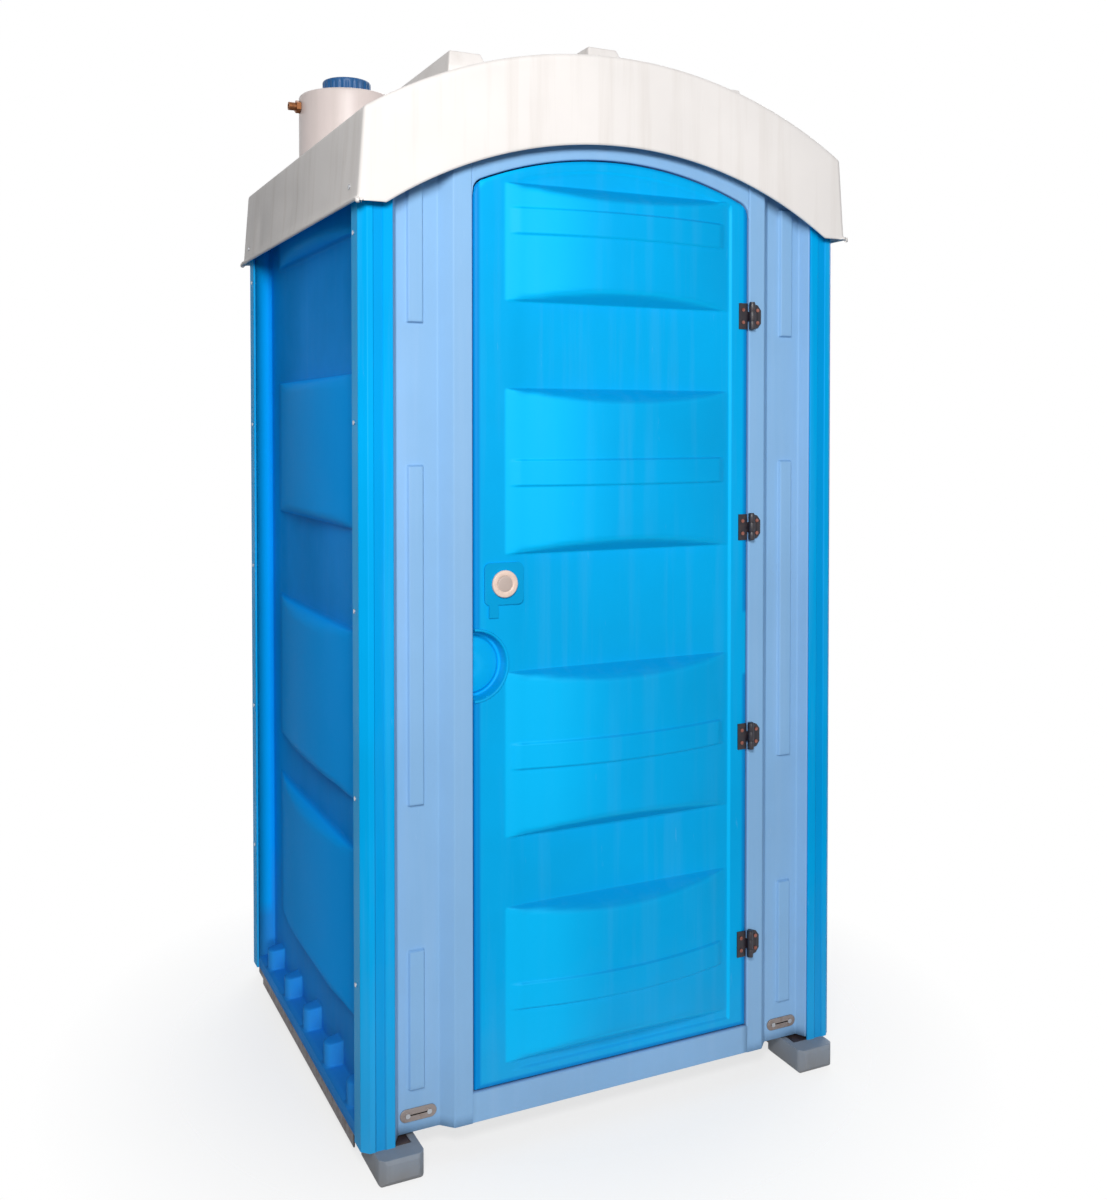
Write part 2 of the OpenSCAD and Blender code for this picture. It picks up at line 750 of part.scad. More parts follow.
// Clamping ring under the roof that holds the tank's shoulder
module tank_collar() {
    color("gray") difference() {
        rod_z(tank_x, tank_back, tank_r + tank_flange, boss_z - collar_t, boss_z);
        rod_z(tank_x, tank_back, tank_r + shoulder + seat, boss_z - 8, boss_z + 1);
        rod_z(tank_x, tank_back, tank_r + seat, boss_z - collar_t - 1, boss_z + 1);
        flange_bolts(bolt_hole_r, boss_z - collar_t - 1, boss_z + 1);
    }
}

module tank_cap() {
    color("steelblue") {
        difference() {
            rod_z(tank_x, tank_back, cap_r, tank_top, tank_top + cap_h);
            for (a = [0:30:330])
                rod_z(tank_x + (cap_r + 2) * cos(a), tank_back + (cap_r + 2) * sin(a), 4, tank_top - 1, tank_top + cap_h - 5);
        }
        difference() {
            rod_z(tank_x, tank_back, filler_r - soft_clear, tank_top - 14, tank_top + 1);
            rod_z(tank_x, tank_back, filler_r - 5, tank_top - 15, tank_top);
        }
    }
}

// Brass hose tail in the left side of the tank
module tank_inlet() {
    z = inlet_z;
    x = tank_x - tank_r;
    color("peru") difference() {
        union() {
            rod_x(tank_back, z, 8.9, x - 1, x + tank_t);
            translate([x - 12, tank_back, z]) rotate([0, 90, 0]) cylinder(r = 16, h = 11, $fn = 6);
            rod_x(tank_back, z, 10, x - 30, x - 11);
        }
        rod_x(tank_back, z, 6, x - 31, x + tank_t + 5);
    }
}

// Base frame. The lip of a runner ends between the feet.
lip_x = half_w - post_t - 2;
lip_d = foot_end - foot_l - 2;
module runner() {
    color("dimgray") difference() {
        union() {
            slab(runner_x - runner_w / 2, runner_x + runner_w / 2, -half_d + 6, half_d - 6, runner_lift, base_z);
            slab(runner_x + runner_w / 2 - 4, lip_x, -lip_d, lip_d, base_z - runner_lip, base_z);
        }
        slab(runner_x - runner_w / 2 + 4, runner_x + runner_w / 2 - 4, -half_d, half_d, runner_lift + 4, base_z - 4);
        slab(runner_x + runner_w / 2, lip_x - 4, -half_d, half_d, base_z - runner_lip - 1, base_z - 4);
        for (s = [-1, 1]) rod_z(bolt_x, s * bolt_d, 4.2, base_z - 6, base_z + 1);
    }
}
module runner_left() { mirror([1, 0, 0]) runner(); }
module runner_right() { runner(); }

// One rubber-ended foot, front right, with a pocket for the runner
module foot() {
    b = foot_bevel;
    x0 = runner_x - foot_w / 2;
    x1 = runner_x + foot_w / 2;
    y0 = -foot_end;
    y1 = -foot_end + foot_l;
    color("slategray") difference() {
        intersection() {
            linear_extrude(base_z) polygon([
                [x0 + b, y0], [x1 - b, y0], [x1, y0 + b], [x1, y1], [x0, y1], [x0, y0 + b]
            ]);
            front_slab(y0, y1) polygon([
                [x0 + b / 2, 0], [x1 - b / 2, 0], [x1, b / 2], [x1, base_z], [x0, base_z], [x0, b / 2]
            ]);
            side_slab(x0, x1) polygon([[y0 + b, 0], [y1, 0], [y1, base_z], [y0 + 4, base_z], [y0, base_z - 8], [y0, b]]);
        }
        slab(runner_x - runner_w / 2 - soft_clear, runner_x + runner_w / 2 + soft_clear, -half_d + 6 - soft_clear,
            y1 + 1, runner_lift, base_z + 1);
    }
}
module foot_front_right() { foot(); }
module foot_front_left() { mirror([1, 0, 0]) foot(); }
module foot_rear_right() { mirror([0, 1, 0]) foot(); }
module foot_rear_left() { rotate([0, 0, 180]) foot(); }

beam_y = 290;
beam_w = 40;
beam_h = 40;
module cross_beam(y) {
    x = runner_x - runner_w / 2;
    z = floor_z - tray_t;
    color("dimgray") difference() {
        slab(-x, x, y - beam_w / 2, y + beam_w / 2, z - beam_h, z);
        slab(-x - 1, x + 1, y - beam_w / 2 + 3, y + beam_w / 2 - 3, z - beam_h + 3, z - 3);
    }
}
module cross_beam_front() { cross_beam(-beam_y - 30); }
module cross_beam_rear() { cross_beam(beam_y - 10); }

bolt_x = runner_x - 20;
nut_r = 7;
bolt_d = inner_y - 50;
module base_bolts() {
    color("silver") for (sx = [-1, 1]) for (sy = [-1, 1]) translate([sx * bolt_x, sy * bolt_d, 0]) {
        translate([0, 0, floor_z]) cylinder(r = nut_r, h = 5, $fn = 6);
        rod_z(0, 0, 4, base_z - 16, floor_z + 1);
        translate([0, 0, base_z - 11]) cylinder(r = nut_r, h = 7, $fn = 6);
    }
}

// Floor
module shower_tray() {
    in = inner_x - tray_rim;
    in_y = inner_y - tray_rim;
    color("whitesmoke") difference() {
        slab(-inner_x, inner_x, -tray_front, inner_y, tray_z, tray_top);
        slab(-in, in, -tray_front + tray_rim, in_y, floor_z, tray_top + 1);
        slab(-runner_x + runner_w / 2, runner_x - runner_w / 2, -tray_front + tray_rim, in_y, tray_z - 1, floor_z - tray_t);
        rod_z(0, waste_back, strainer_r + soft_clear, floor_z - 4, floor_z + 1);
        rod_z(0, waste_back, waste_r - 4, floor_z - tray_t - 1, floor_z + 1);
        for (sx = [-1, 1]) for (sy = [-1, 1]) rod_z(sx * bolt_x, sy * bolt_d, 4.2, tray_z - 1, floor_z + 1);
    }
}

module floor_grate() {
    w = grate_w / 2;
    d = grate_d / 2;
    pitch = (grate_w - slat_gap) / slat_count;
    color("gainsboro") {
        difference() {
            slab(-w, w, -d, d, grate_z, grate_z + grate_t);
            for (i = [0:slat_count - 1]) for (k = [-1, 0, 1])
                slab(-w + slat_gap / 2 + pitch * (i + 0.5) - slat_gap / 2, -w + slat_gap / 2 + pitch * (i + 0.5) + slat_gap / 2,
                    k * grate_d / 3 - grate_d / 6 + 18, k * grate_d / 3 + grate_d / 6 - 18, grate_z - 1, grate_z + grate_t + 1);
        }
        for (x = [-w + 25, w - 25]) for (y = [-d + 25, 0, d - 25]) rod_z(x, y, 14, floor_z, grate_z + 1);
        for (y = [-d + 25, 0]) rod_z(0, y, 14, floor_z, grate_z + 1);
    }
}

module drain_strainer() {
    color("silver") difference() {
        union() {
            rod_z(0, waste_back, strainer_r, floor_z - 4 + seat, floor_z);
            rod_z(0, waste_back, waste_r - 4.3, floor_z - tray_t, floor_z - 3);
        }
        rod_z(0, waste_back, waste_r - 8, floor_z - tray_t - 1, floor_z - 2.5);
        for (a = [0:60:300]) rod_z(7.5 * cos(a), waste_back + 7.5 * sin(a), 2, floor_z - 5, floor_z + 1);
    }
}

// Low trap and spigot that lead the waste water out under the rear wall
spigot_l = 40;
module waste_pipe() {
    z = base_z - 4 - waste_r;
    color("gray") difference() {
        union() {
            rod_z(0, waste_back, waste_r + 4, z, floor_z - tray_t);
            translate([0, waste_back, z]) sphere(r = waste_r + 4);
            rod_y(0, z, waste_r + 2, waste_back, half_d);
            rod_y(0, z, waste_r, waste_back, half_d + spigot_l);
        }
        rod_z(0, waste_back, waste_r - 4, z, floor_z);
        translate([0, waste_back, z]) sphere(r = waste_r - 4);
        rod_y(0, z, waste_r - 4, waste_back, half_d + spigot_l + 1);
    }
}

// Shower fittings
module supply_pipe() {
    z = tank_bottom - 30;
    color("silver") {
        rod_z(tank_x, tank_back, pipe_r, z, tank_bottom);
        translate([tank_x, tank_back, z]) sphere(r = pipe_r);
        rod_y(tank_x, z, pipe_r, tank_back, pipe_y);
        translate([tank_x, pipe_y, z]) sphere(r = pipe_r);
        rod_z(tank_x, pipe_y, pipe_r, valve_z, z);
        translate([tank_x, pipe_y, valve_z]) sphere(r = pipe_r);
        rod_x(pipe_y, valve_z, pipe_r, tank_x, riser_x - 32);
    }
}

module valve_body() {
    color("silver") difference() {
        union() {
            rod_x(pipe_y, valve_z, 18, riser_x - 32, riser_x + 24);
            rod_z(riser_x, pipe_y, 16, valve_z, valve_z + 34);
            rod_y(riser_x, valve_z, 22, pipe_y - 30, inner_y);
        }
        rod_y(riser_x, valve_z, 6 + run_clear, pipe_y - 31, pipe_y - 12);
    }
}

module valve_lever() {
    y = pipe_y - 30;
    color("silver") {
        rod_y(riser_x, valve_z, 6, y - 4, y + 17);
        rod_y(riser_x, valve_z, 19, y - 22, y - soft_clear);
        translate([riser_x, y - 14, valve_z]) rotate([0, 90, 0]) cylinder(r = 6, h = 85);
        translate([riser_x + 85, y - 14, valve_z]) sphere(r = 8);
    }
}

module riser_pipe() {
    head_y = pipe_y - arm_l;
    color("silver") {
        rod_z(riser_x, pipe_y, pipe_r, valve_z + 34, arm_z);
        translate([riser_x, pipe_y, arm_z]) sphere(r = pipe_r);
        rod_y(riser_x, arm_z, pipe_r, head_y, pipe_y);
        translate([riser_x, head_y, arm_z]) sphere(r = pipe_r);
        difference() {
            rod_z(riser_x, head_y, pipe_r + 3, arm_z - 26, arm_z);
            rod_x(head_y, arm_z - 26, 9 + run_clear, riser_x - 7.2, riser_x + 7.2);
        }
    }
}

module shower_head() {
    y = pipe_y - arm_l;
    z = arm_z - 26;
    color("silver") difference() {
        union() {
            rod_x(y, z, 9, riser_x - 7, riser_x + 7);
            translate([riser_x, y, z - 26]) cylinder(r1 = 22, r2 = 6.5, h = 22);
            rod_z(riser_x, y, head_r, z - 40, z - 26);
        }
        for (k = [1:3]) for (a = [0:360 / (6 * k):359])
            rod_z(riser_x + k * head_r / 4 * cos(a), y + k * head_r / 4 * sin(a), 1.6, z - 41, z - 37);
    }
}

clip_z = [1205, 1660];
module pipe_clips() {
    color("whitesmoke") for (x = [tank_x, riser_x]) for (z = clip_z) translate([x, 0, z]) difference() {
        union() {
            rod_z(0, pipe_y, pipe_r + 5, 0, 18);
            slab(-9, 9, pipe_y, inner_y, 0, 18);
        }
        rod_z(0, pipe_y, pipe_r, -1, 19);
    }
}

dish_x = 240;
dish_d = 80;
module soap_dish() {
    color("whitesmoke") difference() {
        union() {
            slab(dish_x - dish_w / 2, dish_x + dish_w / 2, inner_y - dish_d, inner_y, dish_z, dish_z + 28);
            slab(dish_x - dish_w / 2, dish_x + dish_w / 2, inner_y - 5, inner_y, dish_z, dish_z + 60);
        }
        slab(dish_x - dish_w / 2 + 5, dish_x + dish_w / 2 - 5, inner_y - dish_d + 5, inner_y - 5, dish_z + 5, dish_z + 61);
        for (x = [-30, 0, 30]) rod_z(dish_x + x, inner_y - dish_d / 2, 4, dish_z - 1, dish_z + 6);
    }
}

hook_z = 1620;
module coat_hook() {
    color("silver") {
        slab(-14, 14, -door_back, -door_back + 4, hook_z - 30, hook_z + 30);
        rod_y(0, hook_z - 12, 5, -door_back + 3, -door_back + 40);
        translate([0, -door_back + 40, hook_z - 12]) sphere(r = 5);
        rod_z(0, -door_back + 40, 5, hook_z - 12, hook_z + 14);
        translate([0, -door_back + 40, hook_z + 14]) sphere(r = 7);
    }
}

// Cushions and bands of the door; grow shrinks them for the hollow behind
cushion_ranges = [[170, 495], [lock_z - 527, lock_z - 183], [lock_z + 58, lock_z + 400], [1742, 1985]];
band_z = [278, lock_z - 388, lock_z + 197, 1878];
module door_cushions(bow, shrink) {
    for (c = cushion_ranges)
        cushion(door_cushion_w - 2 * shrink, c[0] + shrink, c[1] - shrink, bow, door_slope);
}
module door_bands() {
    for (z = band_z) intersection() {
        translate([0, 0.01, 0]) cushion(door_cushion_w + 6, z - 60, z + band_h + 60, door_bow + band_out, 1);
        slab(-door_cushion_w / 2, door_cushion_w / 2, -100, 0, z, z + band_h);
    }
}

module pull_cut(r, y0, y1) {
    intersection() {
        rod_y(-door_half, pull_z, r, y0, y1);
        slab(-door_half - 1, 0, y0, y1, 0, crown_z);
    }
}

module hinge_screw_cuts(y0, y1) {
    for (i = [0:hinge_count - 1]) for (s = [-1, 1])
        rod_y(hinge_x - door_leaf_w + 10, hinge_z + i * hinge_pitch + s * leaf_screw_pitch / 2, 2, y0, y1);
}

module door_skin() {
    color("deepskyblue") difference() {
        union() {
            front_slab(-front_y, -front_y + skin_d) polygon(door_outline(0));
            translate([door_cushion_x, -front_y, 0]) {
                door_cushions(door_bow, 0);
                door_bands();
            }
        }
        front_slab(-front_y + sheet_t, -front_y + skin_d + 1) polygon(door_outline(-24));
        translate([door_cushion_x, -front_y + sheet_t, 0]) door_cushions(door_bow, 10);
        pull_cut(pull_r, -front_y - 1, -front_y + skin_d + 1);
        pull_cut(pull_r + 6, -half_d - 60, -front_y);
        rod_y(lock_x, lock_z, spindle_r + 2, -half_d, -front_y + skin_d + 1);
        hinge_screw_cuts(-half_d, -front_y + skin_d - 4);
    }
}

module door_liner() {
    color("lightskyblue") difference() {
        front_slab(-door_back - liner_d, -door_back) polygon(door_outline(0));
        front_slab(-door_back - liner_d - 1, -door_back - sheet_t) polygon(door_outline(-24));
        pull_cut(pull_r, -front_y, -front_y + pull_d + soft_clear);
        rod_y(lock_x, lock_z, spindle_r + 2, -half_d, -door_back + 1);
    }
}

module finger_pull() {
    color("deepskyblue") difference() {
        union() {
            pull_cut(pull_r - seat, -front_y - 1, -front_y + pull_d);
            pull_cut(pull_r + 5, -front_y - 2, -front_y);
        }
        pull_cut(pull_r - 5, -front_y - 3, -front_y + pull_d - 4);
    }
}

// Lock
module lock_plate() {
    r = 12;
    color("dodgerblue") difference() {
        front_slab(-front_y - plate_t, -front_y) {
            translate([lock_x - plate_w / 2 + r, lock_z - plate_w / 2]) square([plate_w - 2 * r, plate_w]);
            translate([lock_x - plate_w / 2, lock_z - plate_w / 2 + r]) square([plate_w, plate_w - 2 * r]);
            for (sx = [-1, 1]) for (sz = [-1, 1])
                translate([lock_x + sx * (plate_w / 2 - r), lock_z + sz * (plate_w / 2 - r)]) circle(r = r);
            translate([lock_x - plate_w / 2 + 10, lock_z - plate_w / 2 - 26]) square([20, 32]);
        }
        rod_y(lock_x, lock_z, spindle_r + run_clear, -half_d - plate_t, -front_y + 1);
    }
}
module lock_disc() {
    y = -front_y - plate_t - soft_clear;
    color("bisque") difference() {
        rod_y(lock_x, lock_z, disc_r, y - disc_t, y);
        rod_y(lock_x, lock_z, spindle_r, y - disc_t / 2, y + 1);
        slab(lock_x - disc_r * 0.6, lock_x + disc_r * 0.6, y - disc_t - 1, y - disc_t + 2, lock_z - 3, lock_z + 3);
    }
}
module lock_spindle() {
    color("silver") rod_y(lock_x, lock_z, spindle_r, -front_y - plate_t - soft_clear - disc_t / 2, -door_back + case_d + 16);
}
module lock_case() {
    y0 = -door_back;
    y1 = -door_back + case_d;
    x0 = lock_x - case_left;
    color("gray") difference() {
        slab(x0, x0 + case_w, y0, y1, lock_z - case_h / 2, lock_z + case_h / 2);
        slab(x0 - 1, x0 + case_w - 4, -bolt_y - bolt_t - slot_clear, -bolt_y + slot_clear,
            lock_z - bolt_h / 2 - slot_clear, lock_z + bolt_h / 2 + slot_clear);
        rod_y(lock_x, lock_z, spindle_r + run_clear, y0 - 1, y1 + 1);
    }
}
module lock_bolt() {
    x1 = lock_x - case_left + case_w - 5;
    color("silver") difference() {
        slab(bolt_tip, x1, -bolt_y - bolt_t, -bolt_y, lock_z - bolt_h / 2, lock_z + bolt_h / 2);
        slab(lock_x - spindle_r - 1, lock_x + spindle_r + 1 + bolt_travel, -bolt_y - bolt_t - 1, -bolt_y + 1,
            lock_z - spindle_r - 1, lock_z + spindle_r + 1);
    }
}
module lock_knob() {
    y = -door_back + case_d + soft_clear;
    color("gray") difference() {
        union() {
            rod_y(lock_x, lock_z, 22, y, y + 8);
            slab(lock_x - 7, lock_x + 7, y + 7, y + 24, lock_z - 20, lock_z + 20);
        }
        rod_y(lock_x, lock_z, spindle_r, y - 1, -door_back + case_d + 16);
    }
}
module strike_plate() {
    x0 = -door_half - door_gap - 36;
    x1 = -door_half - door_gap - 3;
    color("silver") difference() {
        slab(x0, x1, -stop_y + stop_t, -door_back + case_d, lock_z - 30, lock_z + 30);
        slab(x1 - 26, x1 + 1, -bolt_y - bolt_t - 1, -bolt_y + 1, lock_z - bolt_h / 2 - 1, lock_z + bolt_h / 2 + 1);
    }
}

// Hinges, drawn for the lowest one and raised by the caller
module knuckle(z0, z1, r_bore) {
    difference() {
        rod_z(hinge_x, -hinge_y, knuckle_r, z0, z1);
        rod_z(hinge_x, -hinge_y, r_bore, z0 - 1, z1 + 1);
    }
}
module hinge_screw_holes(x) {
    for (s = [-1, 1]) rod_y(x, s * leaf_screw_pitch / 2, 2, -half_d - 20, -half_d + 20);
}
knuckle_h = hinge_h * 0.36;
module jamb_leaf() {
    h = hinge_h / 2;
    k = knuckle_h / 2 + 0.5;
    x = hinge_x;
    color("black") difference() {
        union() {
            front_slab(-front_y - leaf_t, -front_y) polygon([
                [x + 8, -h], [x + jamb_leaf_w - 8, -h + 4], [x + jamb_leaf_w, -h / 2], [x + jamb_leaf_w, h / 2],
                [x + jamb_leaf_w - 8, h - 4], [x + 8, h]
            ]);
            for (z = [[-h, -k], [k, h]]) {
                slab(x, x + 9, -front_y - leaf_t, -front_y, z[0], z[1]);
                rod_z(x, -hinge_y, knuckle_r, z[0], z[1]);
            }
        }
        rod_z(x, -hinge_y, pin_r + 0.02, -h - 1, h + 1);
        hinge_screw_holes(x + jamb_leaf_w - 10);
    }
}
module door_leaf() {
    h = hinge_h / 2;
    k = knuckle_h / 2;
    x = hinge_x;
    color("black") difference() {
        union() {
            slab(x - door_leaf_w, x - 8, -front_y - leaf_t, -front_y, -h, h);
            slab(x - 9, x, -front_y - leaf_t, -front_y - seat, -k, k);
            rod_z(x, -hinge_y, knuckle_r, -k, k);
        }
        rod_z(x, -hinge_y, pin_r + run_clear, -h - 1, h + 1);
        hinge_screw_holes(x - door_leaf_w + 10);
    }
}
function hinge_at(i) = hinge_z + (i - 1) * hinge_pitch;
module hinge_jamb_leaf(i) { translate([0, 0, hinge_at(i)]) jamb_leaf(); }
module hinge_door_leaf(i) { translate([0, 0, hinge_at(i)]) door_leaf(); }
module hinge_pins() {
    color("dimgray") for (i = [1:hinge_count]) {
        rod_z(hinge_x, -hinge_y, pin_r, hinge_at(i) - hinge_h / 2 - 1, hinge_at(i) + hinge_h / 2 + 1);
        rod_z(hinge_x, -hinge_y, knuckle_r - 1, hinge_at(i) + hinge_h / 2, hinge_at(i) + hinge_h / 2 + 2.5);
    }
}
module leaf_screws(x) {
    color("rosybrown") for (i = [1:hinge_count]) for (s = [-1, 1])
        translate([x, -front_y - leaf_t, hinge_at(i) + s * leaf_screw_pitch / 2]) screw(4, 1.9, 1.8, leaf_t + 10);
}
module hinge_screws_door() { leaf_screws(hinge_x - door_leaf_w + 10); }
module hinge_screws_jamb() { leaf_screws(hinge_x + jamb_leaf_w - 10); }

runner_left();
runner_right();
foot_front_left();
foot_front_right();
foot_rear_left();
foot_rear_right();
cross_beam_front();
cross_beam_rear();
base_bolts();
shower_tray();
floor_grate();
drain_strainer();
waste_pipe();
post_front_left();
post_front_right();
post_rear_left();
post_rear_right();
wall_left();
wall_right();
wall_rear();
front_panel();
panel_screws();
tie_plates();
door_stop();
roof_shell();
roof_blocks();
roof_bolts();
water_tank();
tank_collar();
tank_cap();
tank_inlet();
supply_pipe();
valve_body();
valve_lever();
riser_pipe();
shower_head();
pipe_clips();
soap_dish();
coat_hook();
door_skin();
door_liner();
finger_pull();
lock_plate();
lock_disc();
lock_spindle();
lock_case();
lock_bolt();
lock_knob();
strike_plate();
hinge_jamb_leaf(1);  // hinge_jamb_leaf_1
hinge_jamb_leaf(2);  // hinge_jamb_leaf_2
hinge_jamb_leaf(3);  // hinge_jamb_leaf_3
hinge_jamb_leaf(4);  // hinge_jamb_leaf_4
hinge_door_leaf(1);  // hinge_door_leaf_1
hinge_door_leaf(2);  // hinge_door_leaf_2
hinge_door_leaf(3);  // hinge_door_leaf_3
hinge_door_leaf(4);  // hinge_door_leaf_4
hinge_pins();
hinge_screws_door();
hinge_screws_jamb();
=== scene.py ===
"""Portable shower cabin: the finished surfaces, materials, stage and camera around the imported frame."""
import math

import bmesh
import bpy
import numpy as np
from bpy.props import FloatProperty, FloatVectorProperty, PointerProperty
from mathutils import Euler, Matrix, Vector


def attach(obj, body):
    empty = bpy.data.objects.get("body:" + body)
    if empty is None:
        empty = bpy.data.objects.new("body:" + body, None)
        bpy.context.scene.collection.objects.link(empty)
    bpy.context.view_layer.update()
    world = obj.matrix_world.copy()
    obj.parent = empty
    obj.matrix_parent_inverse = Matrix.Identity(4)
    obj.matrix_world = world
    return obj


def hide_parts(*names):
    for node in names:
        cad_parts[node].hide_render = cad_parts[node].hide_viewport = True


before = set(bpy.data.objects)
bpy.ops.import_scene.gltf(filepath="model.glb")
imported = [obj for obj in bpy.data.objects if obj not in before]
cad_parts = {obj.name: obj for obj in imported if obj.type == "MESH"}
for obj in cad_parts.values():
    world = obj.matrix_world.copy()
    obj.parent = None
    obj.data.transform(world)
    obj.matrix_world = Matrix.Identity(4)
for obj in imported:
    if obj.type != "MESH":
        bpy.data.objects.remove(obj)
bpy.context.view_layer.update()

bl_info = {
    "name": "Portable shower cabin",
    "version": (1, 0, 0),
    "blender": (4, 5, 0),
    "location": "3D View > Sidebar > Cabin",
    "description": "Builds the moulded surfaces, materials and stage of a portable shower cabin",
    "category": "Add Mesh",
}

# Planes and outlines that the solids share, in metres. Depths are counted from the middle plane y = 0.
SIDES = ((-1, "left"), (1, "right"))
FRONT = 0.500
HALF_W = 0.570
HALF_D = 0.503
BASE = 0.056
POST_TOP = 1.988
FLUTE_X = 0.5325
FLUTE_HALF = 0.011

DOOR_HALF = 0.331
DOOR_LOW = 0.127
DOOR_TOP = 2.047
DOOR_BACK = 0.4822
DOOR_ARCH = 0.820
DOOR_CORNER = 0.030
ARCH_Z = DOOR_TOP - DOOR_ARCH
CORNER_X = DOOR_HALF - DOOR_CORNER
CORNER_Z = ARCH_Z + math.sqrt((DOOR_ARCH - DOOR_CORNER) ** 2 - CORNER_X * CORNER_X)
CUSHION_X = 0.008
FIELD_LOW = 0.152
DOOR_CUSHIONS = ((0.170, 0.495), (0.638, 0.982), (1.223, 1.565), (1.742, 1.985))
DOOR_BANDS = (0.278, 0.777, 1.362, 1.878)
BAND = 0.058
PULL_Z = 1.000
PULL_R = 0.070
LOCK = (-0.267, 1.165)

REVEAL = 0.4632
REVEAL_HALF = 0.334
HEADER = 0.4984
SILL_TOP = 0.124
STRIP_RIBS = ((0.148, 0.434), (0.724, 1.410), (1.692, 1.985))

WALL = 0.522
REAR = 0.455
WEB = 0.446
RETURN = 0.0415
LEDGE_REACH = 0.042
WALL_CUSHIONS = ((0.240, 0.600), (0.700, 1.060), (1.270, 1.600), (1.885, 2.035))
LUG_TOP = 0.138
LUG_R = 0.022
LUG_STAND = 0.016
LUG_PITCH = 0.180

EAVES = 1.918
CROWN = 2.263
CROWN_R = 1.0642
LIP = 0.5856
SKIRT_TOP = 0.566
SKIRT_Y = 0.529
SKIRT_Z = 2.100
CUT_R = 0.9496
CUT_HALF = 0.523
CUT_TOP = 2.075
RIB_HALF = 0.046
RIB_FRONT = -0.450
ROOF_RIBS = (("left", -0.320, 0.120), ("middle", 0.0, 0.450), ("right", 0.320, 0.450))

TANK = (-0.366, 0.280)
TANK_R = 0.120
TANK_LOW = 1.884
TANK_TOP = 2.324

KEY_PLACE = (-1.48, -2.95, 2.5)
BACK_PLACE = (2.0, 2.4, 1.5)
CAMERA_PLACE = (-1.2745, -2.8376, 1.4813)
CAMERA_TURN = (math.radians(88.705), 0, math.radians(-25.62))


def srgb(red, green, blue):
    """Scene-linear colour of a display colour given as 0 to 255."""
    c = np.array([red, green, blue]) / 255.0
    c = np.where(c <= 0.04045, c / 12.92, ((c + 0.055) / 1.055) ** 2.4)
    return tuple(float(v) for v in c)


def length(name, description, default):
    return FloatProperty(name=name, description=description, default=default, unit="LENGTH", precision=4)


def colour(name, description, default):
    return FloatVectorProperty(
        name=name, description=description, default=default, subtype="COLOR", size=3, min=0.0, max=1.0
    )


class CabinSizes(bpy.types.PropertyGroup):
    """Sizes of the moulded relief."""

    door_bow: length("Door cushion bow", "How far the middle of a door cushion stands out", 0.036)
    door_cushion: length("Door cushion width", "Width of the cushions on the door", 0.540)
    door_slope: length("Door cushion slope", "Height of the slope at the ends of a door cushion", 0.027)
    door_band: length("Door band", "How far the bands across the cushions stand out", 0.004)
    door_edge: length("Door edge fall", "How far the door's border falls back towards its edge", 0.006)
    wall_bow: length("Wall cushion bow", "How far the middle of a wall cushion stands out", 0.030)
    wall_slope: length("Wall cushion slope", "Height of the slope at the ends of a wall cushion", 0.016)
    side_cushion: length("Side cushion width", "Width of the cushions on the side walls", 0.740)
    rear_cushion: length("Rear cushion width", "Width of the cushions on the rear wall", 0.640)
    ledge: length("Ledge height", "Height of the ledge along the foot of a wall", 0.032)
    strip_rib: length("Strip rib", "How far the ribs of the front strips stand out", 0.008)
    roof_round: length("Roof rounding", "Radius of the rounded edges of the roof", 0.012)
    roof_rib: length("Roof rib height", "Height of the raised roof ribs", 0.046)
    post_round: length("Post rounding", "Radius of the rounded edges of the posts", 0.0022)


class CabinColours(bpy.types.PropertyGroup):
    """Colours of the plastics and metals."""

    door: colour("Door", "Colour of the door", srgb(0, 175, 240))
    posts: colour("Posts", "Colour of the corner posts", srgb(0, 172, 240))
    walls: colour("Walls", "Colour of the side and rear walls", srgb(0, 152, 244))
    panel: colour("Front panel", "Colour of the front panel and surround", srgb(142, 188, 231))
    roof: colour("Roof", "Colour of the roof", srgb(240, 235, 232))
    tank: colour("Tank", "Colour of the roof tank", srgb(226, 212, 208))
    cap: colour("Cap", "Colour of the tank cap", srgb(8, 88, 148))
    feet: colour("Feet", "Colour of the feet", srgb(142, 155, 171))
    steel_paint: colour("Runner paint", "Colour of the painted runners", srgb(34, 31, 42))
    tray: colour("Tray", "Colour of the tray and grate", srgb(214, 217, 220))
    grime: colour("Grime", "Colour of dust and splashes near the ground", srgb(120, 108, 92))
    hinge: colour("Hinges", "Colour of the hinges", srgb(26, 22, 32))
    disc: colour("Lock disc", "Colour of the lock's turning disc", srgb(232, 205, 190))


def sizes():
    """The sizes of this scene's property group."""
    return bpy.context.scene.cabin_sizes


def colours():
    """The colours of this scene's property group."""
    return bpy.context.scene.cabin_colours


# ---------------------------------------------------------------- mesh tools


